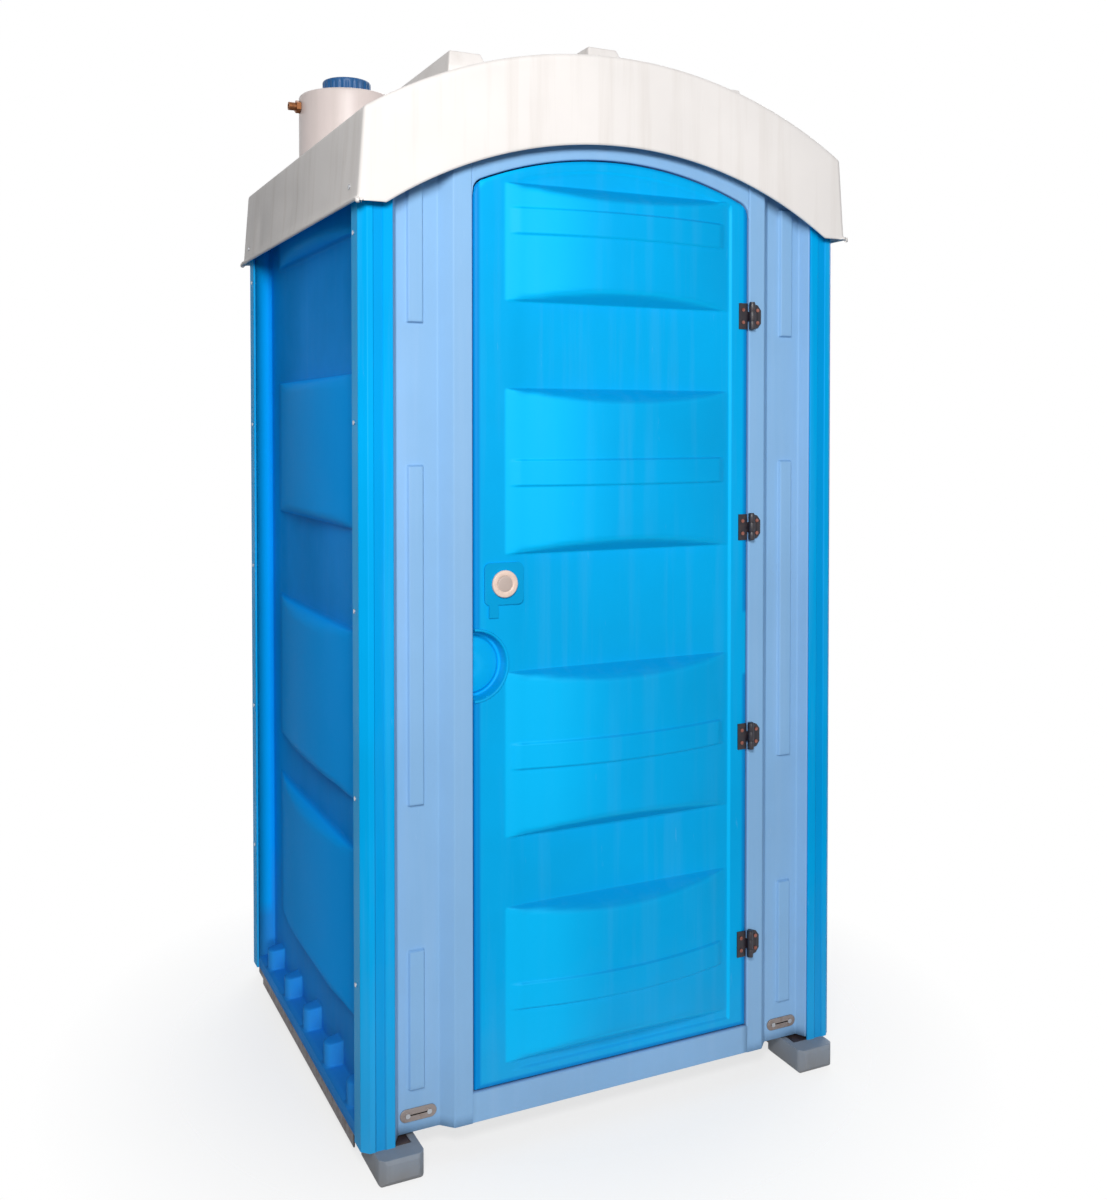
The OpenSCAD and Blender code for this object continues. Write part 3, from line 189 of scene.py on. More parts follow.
def build(name, grids, finish_name, slot, stands_for=(), body="cabin", facing=None, thick=0.0, drop=None,
          weld=1e-6):
    """One piece from several grids of points, each an array of rows, columns and three coordinates.

    A grid is (points, wrap_rows, wrap_columns) or only points. Neighbouring points make quads. drop is a
    function of face centres that says which faces are left out. Points nearer than weld become one.
    """
    verts, quads, base = [], [], 0
    for grid in grids:
        points, wrap_r, wrap_c = grid if isinstance(grid, tuple) else (grid, False, False)
        rows, cols = points.shape[:2]
        idx = np.arange(rows * cols).reshape(rows, cols) + base
        if wrap_r:
            idx = np.concatenate([idx, idx[:1]], 0)
        if wrap_c:
            idx = np.concatenate([idx, idx[:, :1]], 1)
        quads.append(np.stack([idx[:-1, :-1], idx[:-1, 1:], idx[1:, 1:], idx[1:, :-1]], -1).reshape(-1, 4))
        verts.append(points.reshape(-1, 3))
        base += rows * cols
    verts, quads = np.concatenate(verts), np.concatenate(quads)
    if drop is not None:
        quads = quads[~drop(verts[quads].mean(1))]
    mesh = bpy.data.meshes.new(name)
    mesh.vertices.add(len(verts))
    mesh.vertices.foreach_set("co", np.ascontiguousarray(verts, dtype=np.float32).reshape(-1))
    mesh.loops.add(quads.size)
    mesh.loops.foreach_set("vertex_index", np.ascontiguousarray(quads, dtype=np.int32).reshape(-1))
    mesh.polygons.add(len(quads))
    mesh.polygons.foreach_set("loop_start", np.arange(0, quads.size, 4, dtype=np.int32))
    mesh.update(calc_edges=True)
    obj = add_piece(name, mesh, finish_name, stands_for, body, facing, weld)
    if thick:
        modifier(obj, "Thickness", "SOLIDIFY", thickness=thick, offset=-1.0)
    return obj


def add_piece(name, mesh, finish_name, stands_for=(), body="cabin", facing=None, weld=0.0):
    """Links a mesh as a piece that rides on a body, with its material and the CAD nodes it stands for.

    Its faces turn outwards: those of a closed piece by its volume, those of an open one towards facing.
    """
    bm = bmesh.new()
    bm.from_mesh(mesh)
    if weld:
        bmesh.ops.remove_doubles(bm, verts=bm.verts, dist=weld)
        bmesh.ops.dissolve_degenerate(bm, edges=bm.edges, dist=1e-7)
    bm.normal_update()
    bmesh.ops.recalc_face_normals(bm, faces=bm.faces)
    if facing is not None and sum(f.normal.dot(facing) * f.calc_area() for f in bm.faces) < 0:
        bmesh.ops.reverse_faces(bm, faces=bm.faces)
    bm.to_mesh(mesh)
    bm.free()
    mesh.polygons.foreach_set("use_smooth", np.ones(len(mesh.polygons), dtype=bool))
    mesh.validate()
    obj = bpy.data.objects.new(name, mesh)
    bpy.context.scene.collection.objects.link(obj)
    mesh.materials.append(finish(finish_name))
    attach(obj, body)
    if stands_for:
        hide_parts(*stands_for)
    return obj


def modifier(obj, name, kind, **values):
    mod = obj.modifiers.new(name, kind)
    for key, value in values.items():
        setattr(mod, key, value)


def dress(names, material, bevel, segments=2):
    """Gives CAD nodes a material and, where a bevel width is given, softly rounded edges."""
    for name in names:
        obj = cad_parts[name]
        if not obj.data.materials:
            obj.data.materials.append(material)
        for slot in obj.material_slots:
            slot.link = "OBJECT"
            slot.material = material
        if bevel:
            modifier(obj, "Weld", "WELD", merge_threshold=1e-5)
            modifier(
                obj, "Rounding", "BEVEL", width=bevel, segments=segments, limit_method="ANGLE",
                angle_limit=math.radians(35.0), harden_normals=False, use_clamp_overlap=True,
            )


def fillet(points, radii, steps=6):
    """A closed polygon with each corner replaced by an arc that is tangent to both of its sides."""
    p = np.asarray(points, float)
    out = []
    for i, r in enumerate(radii):
        a, b, c = p[i - 1], p[i], p[(i + 1) % len(p)]
        u, v = (a - b) / np.linalg.norm(a - b), (c - b) / np.linalg.norm(c - b)
        half = math.acos(float(np.clip(u @ v, -1, 1))) / 2
        if r <= 0 or half > 1.5:
            out.append(b[None])
            continue
        cut = r / math.tan(half)
        mid = b + (u + v) / np.linalg.norm(u + v) * r / math.sin(half)
        s, e = b + u * cut - mid, b + v * cut - mid
        a0, a1 = math.atan2(s[1], s[0]), math.atan2(e[1], e[0])
        turn = (a1 - a0 + math.pi) % (2 * math.pi) - math.pi
        t = a0 + np.linspace(0, 1, steps) * turn
        out.append(mid + r * np.stack([np.cos(t), np.sin(t)], 1))
    return np.concatenate(out)


def turned(profile, centre, axis="z", steps=64, arc=(0.0, 2 * math.pi), ripple=None):
    """Points of a profile of radius and height turned about an axis through centre.

    The radius may be changed by ripple, a function of angle and of the profile's place.
    """
    profile = np.asarray(profile, float)
    full = abs(arc[1] - arc[0] - 2 * math.pi) < 1e-9
    t = np.linspace(arc[0], arc[1], steps, endpoint=not full)
    r = profile[:, 0][:, None] * np.ones_like(t)
    if ripple is not None:
        r = r + ripple(t, profile)
    h = profile[:, 1][:, None] * np.ones_like(t)
    first, second = centre[0] + r * np.cos(t), centre[1] + r * np.sin(t)
    return (np.stack([first, second, h] if axis == "z" else [first, h, second], -1), False, full)


def spread(lo, hi, coarse, marks=(), fine=0.002, reach=0.012):
    """Sorted places from lo to hi, coarse apart, and fine apart within reach of each mark."""
    parts = [np.linspace(lo, hi, max(2, int(round((hi - lo) / coarse)) + 1))]
    parts += [np.arange(m - reach, m + reach + fine / 2, fine) for m in marks]
    t = np.unique(np.round(np.concatenate(parts), 6))
    t = t[(t >= lo) & (t <= hi)]
    keep = np.concatenate([[True], np.diff(t) > fine * 0.45])
    keep[-1] = True
    return t[keep]


def soft_min(k, *values):
    """Smooth smallest value: the smallest one, rounded where two are within about k."""
    v = np.stack(np.broadcast_arrays(*values))
    low = v.min(0)
    return low - k * np.log(np.exp(-(v - low) / k).sum(0))


def soft_floor(k, value):
    """The value where it is well above nought, nought where it is below, rounded over k between."""
    return np.where(value > 8 * k, value, k * np.log1p(np.exp(np.minimum(value, 8 * k) / k)))


def step(lo, hi, value):
    """Smooth step from nought at lo to one at hi."""
    t = np.clip((value - lo) / (hi - lo), 0, 1)
    return t * t * (3 - 2 * t)


def plateau(lo, hi, edge, value):
    """One between lo and hi, falling to nought over edge at both ends."""
    return step(lo, lo + edge, value) * (1 - step(hi - edge, hi, value))


def cushion(x, z, half, bow, low, high, slope):
    """Height of a moulded cushion.

    Across, it is the arc of a circle through both sides that stands out by bow in the middle. Below and
    above, it is cut by planes that rise from its lower and upper edge and reach the bow at the height
    slope, so each end shows as a crescent.
    """
    pitch = (bow + 0.001) / slope
    r = (half * half + bow * bow) / (2 * bow)
    arc = np.sqrt(np.maximum(r * r - x * x, 0)) - (r - bow)
    return soft_floor(0.0006, soft_min(0.0016, arc, (z - low) * pitch, (high - z) * pitch))


def outline_of(grid):
    """The border of a grid of points as one closed loop, in order."""
    return np.concatenate([grid[0, :], grid[1:, -1], grid[-1, -2::-1], grid[-2:0:-1, 0]])


def between(first, second):
    """A closed band of faces that joins two loops of points, one point to one."""
    return (np.stack([first, second]), False, True)


# ---------------------------------------------------------------- materials


class Net:
    """A node tree. Each call adds one kind of node and gives back its outputs, or the one that is used."""

    def __init__(self, tree):
        self.tree = tree

    def feed(self, socket, value):
        """Links an output to an input, or sets the input's own value."""
        if isinstance(value, bpy.types.NodeSocket):
            self.tree.links.new(value, socket)
        else:
            socket.default_value = value

    def add(self, kind, inputs=None, **values):
        """Adds a node, sets its values, and links or sets its inputs by name or number."""
        node = self.tree.nodes.new(kind)
        for key, value in values.items():
            setattr(node, key, value)
        for key, value in (inputs or {}).items():
            self.feed(node.inputs[key], value)
        return node.outputs

    def blend(self, factor, first, second):
        """Mixes two colours, each an output or three numbers."""
        pair = [v if isinstance(v, bpy.types.NodeSocket) else (*v, 1.0) for v in (first, second)]
        return self.add("ShaderNodeMix", {0: factor, 6: pair[0], 7: pair[1]}, data_type="RGBA")[2]

    def maths(self, operation, first, second=0.5, clamp=False):
        return self.add("ShaderNodeMath", {0: first, 1: second}, operation=operation, use_clamp=clamp)[0]

    def plus(self, first, second):
        return self.maths("ADD", first, second)

    def times(self, first, second):
        return self.maths("MULTIPLY", first, second)

    def most(self, first, second):
        return self.maths("MAXIMUM", first, second)

    def size(self, value):
        return self.maths("ABSOLUTE", value)

    def radius(self, first, second):
        """Square root of the sum of both squares."""
        return self.maths("SQRT", self.plus(self.times(first, first), self.times(second, second)))

    def ramp(self, value, start, end, low=0.0, high=1.0):
        """Low where the value is at start, high where it is at end, straight between, and no further."""
        limits = {"Value": value, "From Min": start, "From Max": end, "To Min": low, "To Max": high}
        return self.add("ShaderNodeMapRange", limits)[0]

    def noise(self, vector, scale, detail=3.0, rough=0.55):
        values = {"Vector": vector, "Scale": scale, "Detail": detail, "Roughness": rough}
        return self.add("ShaderNodeTexNoise", values)[0]

    def stretch(self, vector, scale, turn=(0.0, 0.0, 0.0)):
        return self.add("ShaderNodeMapping", {"Vector": vector, "Scale": scale, "Rotation": turn})[0]

    def split(self, vector):
        return self.add("ShaderNodeSeparateXYZ", {0: vector})

    def coordinates(self, kind):
        return self.add("ShaderNodeTexCoord")[kind]

    def group(self, fill, place, **numbers):
        """Adds the node group that fill makes. An underscore in a number's name stands for a space.

        On first use the group is made with a Vector and these numbers as inputs. fill gets their sockets
        and gives back the group's outputs by name.
        """
        numbers = {key.replace("_", " "): value for key, value in numbers.items()}
        name = fill.__name__.replace("_", " ").capitalize()
        if name not in bpy.data.node_groups:
            tree = bpy.data.node_groups.new(name, "ShaderNodeTree")
            tree.interface.new_socket("Vector", in_out="INPUT", socket_type="NodeSocketVector")
            for label in numbers:
                tree.interface.new_socket(label, in_out="INPUT", socket_type="NodeSocketFloat")
            net = Net(tree)
            made = fill(net, net.add("NodeGroupInput"))
            for label in made:
                tree.interface.new_socket(label, in_out="OUTPUT", socket_type="NodeSocketFloat")
            ends = tree.nodes.new("NodeGroupOutput").inputs
            for label, value in made.items():
                net.feed(ends[label], value)
        inputs = {"Vector": place, **numbers}
        return self.add("ShaderNodeGroup", inputs, node_tree=bpy.data.node_groups[name])

    def dress_shader(self, shader, tone, rough, height, strength, distance):
        """Feeds the shader's colour and roughness, and a bump of the given height."""
        self.feed(shader.inputs["Base Color"], tone)
        self.feed(shader.inputs["Roughness"], rough)
        bump = {"Height": height, "Strength": strength, "Distance": distance}
        self.feed(shader.inputs["Normal"], self.add("ShaderNodeBump", bump)[0])


def moulded_grain(net, given):
    """Fine pebbled grain of a moulded surface with a slow waviness under it, as a height."""
    vector, scale = given["Vector"], given["Scale"]
    cells = net.add("ShaderNodeTexVoronoi", {"Vector": vector, "Scale": scale})["Distance"]
    fine = net.plus(net.noise(vector, scale, 2.0), net.times(cells, 0.4))
    slow = net.times(net.noise(vector, 9.0, 2.0), given["Waves"])
    return {"Height": net.plus(fine, net.times(slow, 14.0))}


def weathering(net, given):
    """Masks for a part that stands outdoors.

    Blotch is a slow change of tone. Streak is rain runs, noise stretched upright. Dirt is splashed dust
    that fades out above the given height. Scuff is short scratches and rubbed spots.
    """
    vector = given["Vector"]
    level = net.maths("DIVIDE", net.split(vector)[2], given["Dirt height"])
    rise = net.plus(level, net.times(net.noise(vector, 7.0, 5.0, 0.65), 0.9))
    runs = net.noise(net.stretch(vector, (26.0, 26.0, 1.1)), 1.0, 4.0, 0.6)
    scratches = net.noise(net.stretch(vector, (60.0, 60.0, 9.0), (0.3, 0.5, 0.4)), 1.0, 6.0, 0.7)
    return {
        "Blotch": net.ramp(net.noise(vector, 2.6, 4.0), 0.30, 0.70),
        "Streak": net.ramp(runs, 0.50, 0.78),
        "Dirt": net.ramp(rise, 0.45, 1.35, 1.0, 0.0),
        "Scuff": net.ramp(scratches, 0.66, 0.74),
    }


def on_ledges(net, place, strength):
    """Faces that lean up, where the tone is darkened as painted shade."""
    return net.ramp(net.split(net.coordinates("Normal"))[2], 0.12, 0.55, 0.0, strength)


def in_flutes(net, place, strength):
    """The floor of the flutes of the posts, darkened as painted shade in the recess."""
    x, y, _ = net.split(place)
    sunk = net.ramp(net.size(y), HALF_D - 0.0022, HALF_D - 0.0006, strength, 0.0)
    aside = net.size(net.maths("SUBTRACT", net.size(x), FLUTE_X))
    return net.times(sunk, net.ramp(aside, FLUTE_HALF, 0.0125, 1.0, 0.0))


def in_lee(net, place, strength):
    """Faces that lean to the left or down, lightened as painted light."""
    lean = net.split(net.coordinates("Normal"))
    left = net.ramp(lean[0], -0.16, -0.03, strength, 0.0)
    return net.most(left, net.ramp(lean[2], -0.50, -0.15, strength, 0.0))


def along_rim(net, place, strength):
    """The sides and the foot of the door, where it falls back to its edge, apart from the pull: painted shade
    along the rim.
    """
    x, y, z = net.split(place)
    side = net.ramp(net.size(x), DOOR_HALF - 0.015, DOOR_HALF - 0.009, 0.0, strength)
    from_pull = net.size(net.maths("SUBTRACT", z, PULL_Z))
    side = net.times(side, net.ramp(from_pull, PULL_R - 0.004, PULL_R + 0.004))
    foot = net.ramp(z, DOOR_LOW + 0.007, DOOR_LOW + 0.013, strength, 0.0)
    return net.times(net.most(side, foot), net.ramp(y, -DOOR_BACK + 0.0002, -0.478, 1.0, 0.0))


def on_crests(net, place, strength):
    """The faces of the wall cushions, lightened as painted light."""
    x, y, z = net.split(place)
    out = net.size(x)
    behind = net.ramp(y, REAR + 0.003, REAR + 0.012, 0.0, strength)
    behind = net.times(behind, net.ramp(out, 0.500, 0.506, 1.0, 0.0))
    proud = net.most(net.ramp(out, WALL + 0.003, WALL + 0.012, 0.0, strength), behind)
    return net.times(proud, net.ramp(z, 0.190, 0.230))


def moulded(net, shader, place, base, tone=1.0, shade=0.78, tint=None, rough=0.42, coat=0.0, grain=900.0,
            waves=0.5, dirt=0.35, dirt_height=0.5, streaks=0.25, scuffs=0.35, specular=0.4, ledge=0.0,
            flute_shade=0.0, lee=0.0, rim=0.0, crest=0.0):
    """Moulded plastic: tone blotches, rain runs, splashed dirt near the ground, scuffs and fine grain.

    Five numbers at the end of the list give the strengths of painted shade on faces that lean up, on the
    floor of the flutes and along the door's rim, and of painted light on faces that lean left or down and on
    the crests of the wall cushions.
    """
    base = base * tone
    pale = base * 0.55 + (0.45, 0.47, 0.50) if tint is None else tint
    masks = net.group(weathering, place, Dirt_height=dirt_height)
    body = net.blend(masks["Blotch"], base * shade, base)
    body = net.blend(net.times(masks["Streak"], streaks), body, pale)
    body = net.blend(net.times(masks["Scuff"], scuffs), body, pale)
    soiled = net.times(masks["Dirt"], dirt)
    body = net.blend(soiled, body, colours().grime)
    # Painted shade on faces that lean up, on the floor of the post flutes and along the door's rim; painted
    # light on faces that lean left or down and on the wall cushions' crests.
    for strength, mask, change in (
        (ledge, on_ledges, (0.30, 0.42, 0.55)),
        (flute_shade, in_flutes, (0.5, 0.62, 0.75)),
        (lee, in_lee, (1.0, 1.22, 1.12)),
        (rim, along_rim, (0.3, 0.55, 0.74)),
        (crest, on_crests, (1.0, 1.20, 1.10)),
    ):
        if strength:
            body = net.blend(mask(net, place, strength), body, np.minimum(base * change, 1.0))
    gloss = net.ramp(masks["Blotch"], 0.0, 1.0, rough + 0.07, rough - 0.04)
    gloss = net.maths("ADD", gloss, net.times(soiled, 0.5), clamp=True)
    height = net.group(moulded_grain, place, Scale=grain, Waves=waves)[0]
    net.dress_shader(shader, body, gloss, height, 1.0, 0.00012)
    shader.inputs["Coat Weight"].default_value = coat
    shader.inputs["Coat Roughness"].default_value = 0.25
    shader.inputs["Specular IOR Level"].default_value = specular


def metal(net, shader, place, base, rough=0.3, dull=None, metallic=1.0, spots=0.25):
    """Metal or its paint, with dull spots and handling marks."""
    dull = base * 0.55 if dull is None else dull
    masks = net.group(weathering, place, Dirt_height=0.3)
    spot = net.ramp(net.noise(place, 70.0, 5.0, 0.65), 0.48, 0.66)
    body = net.blend(net.times(spot, spots), base, dull)
    body = net.blend(net.times(masks["Dirt"], 0.25), body, dull)
    gloss = net.ramp(spot, 0.0, 1.0, rough, rough + 0.22)
    net.dress_shader(shader, body, gloss, net.noise(place, 260.0), 0.6, 0.0001)
    shader.inputs["Metallic"].default_value = metallic


def faded_disc(net, shader, place, base):
    """The lock's disc: darker in the middle, with small spots and scuffs."""
    x, _, z = net.split(place)
    r = net.radius(net.plus(x, -LOCK[0]), net.plus(z, -LOCK[1]))
    masks = net.group(weathering, place, Dirt_height=0.2)
    spots = net.ramp(net.noise(place, 160.0, 4.0), 0.45, 0.62)
    body = net.blend(net.ramp(r, 0.0158, 0.0172, 1.0, 0.0), base, base * (0.62, 0.66, 0.70))
    body = net.blend(net.times(spots, 0.22), body, base * 0.6)
    body = net.blend(net.times(masks["Scuff"], 0.4), body, base * 0.45)
    height = net.group(moulded_grain, place, Scale=1400.0, Waves=0.1)[0]
    net.dress_shader(shader, body, net.ramp(spots, 0.0, 1.0, 0.42, 0.6), height, 1.0, 0.00008)


# Each finish: the function that makes it, its colour or the property that holds it, and its values
# The door and pull finish darkens faces that lean up as painted shade.
DOOR_VALUES = dict(
    shade=0.88, rough=0.46, streaks=0.03, scuffs=0.08, dirt=0.10, dirt_height=0.40, specular=0.09,
    ledge=0.42,
)
FINISHES = {
    # Door blue carries painted light on faces that lean left or down, and painted shade on faces that lean up
    # and along its rim.
    "Door blue": (moulded, "door", dict(DOOR_VALUES, lee=0.75, rim=0.9)),
    "Pull blue": (moulded, "door", DOOR_VALUES),
    "Lock plate blue": (moulded, "door", dict(
        tone=0.86, shade=0.86, rough=0.40, streaks=0.05, scuffs=0.08, dirt=0.0, specular=0.10)),
    # Post blue darkens the floor of the flutes as painted shade.
    "Post blue": (moulded, "posts", dict(
        shade=0.88, rough=0.42, grain=700.0, waves=0.2, streaks=0.04, scuffs=0.12, dirt=0.14, specular=0.05,
        flute_shade=0.45)),
    # Wall blue darkens faces that lean up as painted shade and lightens the cushion crests as painted light.
    "Wall blue": (moulded, "walls", dict(
        shade=0.80, rough=0.60, streaks=0.02, scuffs=0.06, dirt=0.16, dirt_height=0.45, specular=0.03,
        ledge=0.35, crest=0.85)),
    # Panel pale blue darkens faces that lean up as painted shade.
    "Panel pale blue": (moulded, "panel", dict(
        shade=0.90, rough=0.50, streaks=0.08, scuffs=0.12, dirt=0.14, dirt_height=0.45, specular=0.14,
        ledge=0.3)),
    "Roof white": (moulded, "roof", dict(
        shade=0.90, tint=srgb(188, 176, 164), rough=0.58, streaks=0.26, scuffs=0.12, dirt=0.0,
        specular=0.10)),
    "Tank shell": (moulded, "tank", dict(
        shade=0.90, tint=srgb(186, 178, 168), rough=0.36, coat=0.1, streaks=0.30, scuffs=0.15, dirt=0.0)),
    "Cap blue": (moulded, "cap", dict(shade=0.8, rough=0.40, streaks=0.15, scuffs=0.35, dirt=0.0)),
    "Tray white": (moulded, "tray", dict(
        shade=0.93, tint=srgb(168, 166, 158), rough=0.38, streaks=0.0, scuffs=0.35, dirt=0.25,
        dirt_height=0.16)),
    "Grey plastic": (moulded, srgb(150, 153, 158), dict(
        shade=0.85, rough=0.5, streaks=0.1, scuffs=0.2, dirt=0.2, dirt_height=0.3)),
    "Foot grey": (moulded, "feet", dict(
        shade=0.72, rough=0.5, streaks=0.1, scuffs=0.4, dirt=0.55, dirt_height=0.10)),
    "Lock disc": (faded_disc, "disc", {}),
    "Runner paint": (metal, "steel_paint", dict(
        rough=0.42, metallic=0.0, dull=srgb(96, 74, 60), spots=0.3)),
    "Tie plate steel": (metal, srgb(150, 141, 138), dict(
        rough=0.45, metallic=0.55, dull=srgb(112, 86, 70), spots=0.4)),
    "Zinc plate": (metal, srgb(186, 188, 192), dict(rough=0.34, spots=0.35)),
    "Brass fitting": (metal, srgb(140, 92, 60), dict(rough=0.38, dull=srgb(86, 58, 44), spots=0.5)),
    "Polished chrome": (metal, srgb(222, 224, 228), dict(rough=0.09, dull=srgb(176, 180, 184), spots=0.12)),
    "Hinge black": (metal, "hinge", dict(rough=0.36, metallic=0.0, dull=srgb(70, 52, 46), spots=0.3)),
    "Tarnished screw": (metal, srgb(150, 96, 84), dict(
        rough=0.55, metallic=0.6, dull=srgb(92, 44, 34), spots=0.8)),
}

# CAD nodes that keep their modelled shape: their names, their finish, and the width and segments of a bevel
FITTINGS = (
    ("foot_front_left foot_front_right foot_rear_left foot_rear_right", "Foot grey", 0.0025),
    ("runner_left runner_right cross_beam_front cross_beam_rear", "Runner paint", 0.0022),
    ("tie_plates", "Tie plate steel", 0.0008),
    ("base_bolts panel_screws roof_bolts drain_strainer strike_plate lock_spindle", "Zinc plate", 0),
    ("shower_tray soap_dish", "Tray white", 0.002),
    ("floor_grate pipe_clips", "Tray white", 0),
    ("waste_pipe roof_blocks tank_collar lock_case lock_bolt lock_knob", "Grey plastic", 0),
    ("door_liner", "Panel pale blue", 0),
    ("lock_plate", "Lock plate blue", 0.0014, 3),
    ("tank_inlet", "Brass fitting", 0),
    ("supply_pipe valve_body valve_lever riser_pipe shower_head coat_hook", "Polished chrome", 0),
    *(("hinge_jamb_leaf_%d hinge_door_leaf_%d" % (i, i), "Hinge black", 0.0007) for i in (1, 2, 3, 4)),
    ("hinge_pins", "Hinge black", 0),
    ("hinge_screws_door hinge_screws_jamb", "Tarnished screw", 0),
)


def new_material(name):
    """A material with its nodes cleared to an output and one Principled shader."""
    material = bpy.data.materials.new(name)
    material.use_nodes = True
    net = Net(material.node_tree)
    net.tree.nodes.clear()
    shader = net.tree.nodes.new("ShaderNodeBsdfPrincipled")
    output = net.tree.nodes.new("ShaderNodeOutputMaterial")
    net.feed(output.inputs[0], shader.outputs[0])
    return material, net, shader, output


def finish(name):
    """The material of that name, made from its row in FINISHES on first use."""
    if name not in bpy.data.materials:
        make, base, values = FINISHES[name]
        _, net, shader, _ = new_material(name)
        base = np.array(tuple(getattr(colours(), base)) if isinstance(base, str) else base)
        make(net, shader, net.coordinates("Object"), base, **values)
    return bpy.data.materials[name]


# ---------------------------------------------------------------- pieces


def door_top(x, grow=0.0):
    """Height of the door's arched upper edge at x: a wide arc, and a small arc at each corner."""
    r, wide = DOOR_CORNER + grow, DOOR_ARCH + grow
    ax = np.abs(x)
    big = ARCH_Z + np.sqrt(wide ** 2 - x * x)
    small = CORNER_Z + np.sqrt(np.maximum(r * r - np.maximum(ax - CORNER_X, 0) ** 2, 0))
    return np.where(ax > wide * math.sin(math.atan2(CORNER_X, CORNER_Z - ARCH_Z)), small, big)


def door_loop(grow, depth, n_side=12, n_top=60):
    """Outline of the door, grown outwards, as a closed loop with a fixed count of points at a depth.

    It goes along the foot, up the right side, round the corners and the arch, and down the left side.
    """
    hw, low = DOOR_HALF + grow, DOOR_LOW - grow
    r, wide = DOOR_CORNER + grow, DOOR_ARCH + grow
    a = math.atan2(CORNER_Z - ARCH_Z, CORNER_X)
    t1, t2 = np.linspace(0, a, n_side), np.linspace(a, math.pi - a, n_top)
    t3 = np.linspace(math.pi - a, math.pi, n_side)
    xz = np.concatenate([
        np.column_stack([np.linspace(-hw, hw, n_side), np.full(n_side, low)]),
        np.column_stack([np.full(n_side, hw), np.linspace(low, CORNER_Z, n_side)])[1:],
        np.column_stack([CORNER_X + r * np.cos(t1), CORNER_Z + r * np.sin(t1)])[1:],
        np.column_stack([wide * np.cos(t2), ARCH_Z + wide * np.sin(t2)])[1:],
        np.column_stack([-CORNER_X + r * np.cos(t3), CORNER_Z + r * np.sin(t3)])[1:],
        np.column_stack([np.full(n_side, -hw), np.linspace(CORNER_Z, low, n_side)])[1:-1],
    ])
    return np.column_stack([xz[:, 0], np.full(len(xz), -depth), xz[:, 1]])


def door_depth(x, z):
    """How far the door's front stands in front of the middle plane y = 0.

    It is the front plane, plus the cushions and the bands across them, minus the sunk field round the
    cushions, and minus a quarter-circle fall along the border.
    """
    s = sizes()
    half = s.door_cushion / 2
    u = x - CUSHION_X
    field = step(-0.258, -0.205, x) * (1 - step(0.281, 0.288, x)) * step(0.020, 0.028, door_top(x) - z)
    h = -0.003 * field * step(FIELD_LOW - 0.004, FIELD_LOW + 0.004, z)
    for low, high in DOOR_CUSHIONS:
        h = h + cushion(u, z, half, s.door_bow, low, high, s.door_slope)
    across = plateau(-half + 0.014, half - 0.014, 0.008, u)
    for low in DOOR_BANDS:
        h = h + s.door_band * plateau(low, low + BAND, 0.005, z) * across
    to_edge = soft_min(0.0012, DOOR_HALF - np.abs(x), z - DOOR_LOW, (door_top(x) - z) * 0.93)
    t = np.clip(to_edge / 0.011, 0, 1)
    return FRONT + h - s.door_edge * (1 - np.sqrt(np.maximum(1 - (1 - t) ** 2, 0)))


def in_pull(centres):
    """Marks the faces that lie inside the half circle of the finger pull."""
    return np.hypot(centres[:, 0] + DOOR_HALF, centres[:, 2] - PULL_Z) < PULL_R + 0.0025


class CABIN_OT_door(bpy.types.Operator):
    """Moulds the door's front with its four cushions, and the half-round finger pull in its edge"""

    bl_idname = "cabin.door"
    bl_label = "Door"

    def execute(self, context):
        marks = (-DOOR_HALF, DOOR_HALF, -0.262, 0.278, 0.286)  # edges, sides of the cushions and of the field
        xs = spread(-DOOR_HALF, DOOR_HALF, 0.0085, marks, 0.0012, 0.008)
        marks = [DOOR_LOW, FIELD_LOW] + [z for pair in DOOR_CUSHIONS for z in pair]
        marks += [low + d for low in DOOR_BANDS for d in (0.0025, BAND - 0.0025)]
        zs = spread(DOOR_LOW, DOOR_TOP, 0.0075, marks, 0.0017, 0.006)
        zs = np.unique(np.concatenate([zs, DOOR_TOP - np.linspace(0, 0.026, 20)]))
        x, z = np.meshgrid(xs, zs)
        bend_from, soft_from = 1.988, 1.930  # rows above these heights bend down to the arch
        z = z + (door_top(x) - DOOR_TOP) * np.clip((z - bend_from) / (DOOR_TOP - bend_from), 0, 1)
        soft = np.clip((z - soft_from) / (DOOR_TOP - soft_from), 0, 1)
        z = np.where(np.abs(x) > 0.240, np.minimum(z, door_top(x) - (1 - soft) * 1e-4), z)
        front = np.stack([x, -door_depth(x, z), z], -1)
        back = front * (1, 0, 1) - (0, DOOR_BACK, 0)
        grids = [front, back, between(outline_of(front), outline_of(back))]
        build("door_front", grids, "Door blue", "door_plastic", ["door_skin"], "door", drop=in_pull)
        profile = [
            (0.0762, -0.4990), (0.0759, -0.5010), (0.0748, -0.5019), (0.0724, -0.5019), (0.0708, -0.5010),
            (0.0698, -0.4985), (0.0672, -0.4770), (0.0662, -0.4748), (0.0640, -0.4740), (0.0605, -0.4746),
            (0.0588, -0.4770), (0.0570, -0.4795), (0.0540, -0.4806), (0.0300, -0.4812), (0.0, -0.4814),
        ]
        cup = turned(profile, (-DOOR_HALF + 0.0004, PULL_Z), "y", 56, (-math.pi / 2, math.pi / 2))
        build("door_pull", [cup], "Pull blue", "door_plastic", ["finger_pull"], "door", (0, -1, 0), 0.0016)
        return {"FINISHED"}


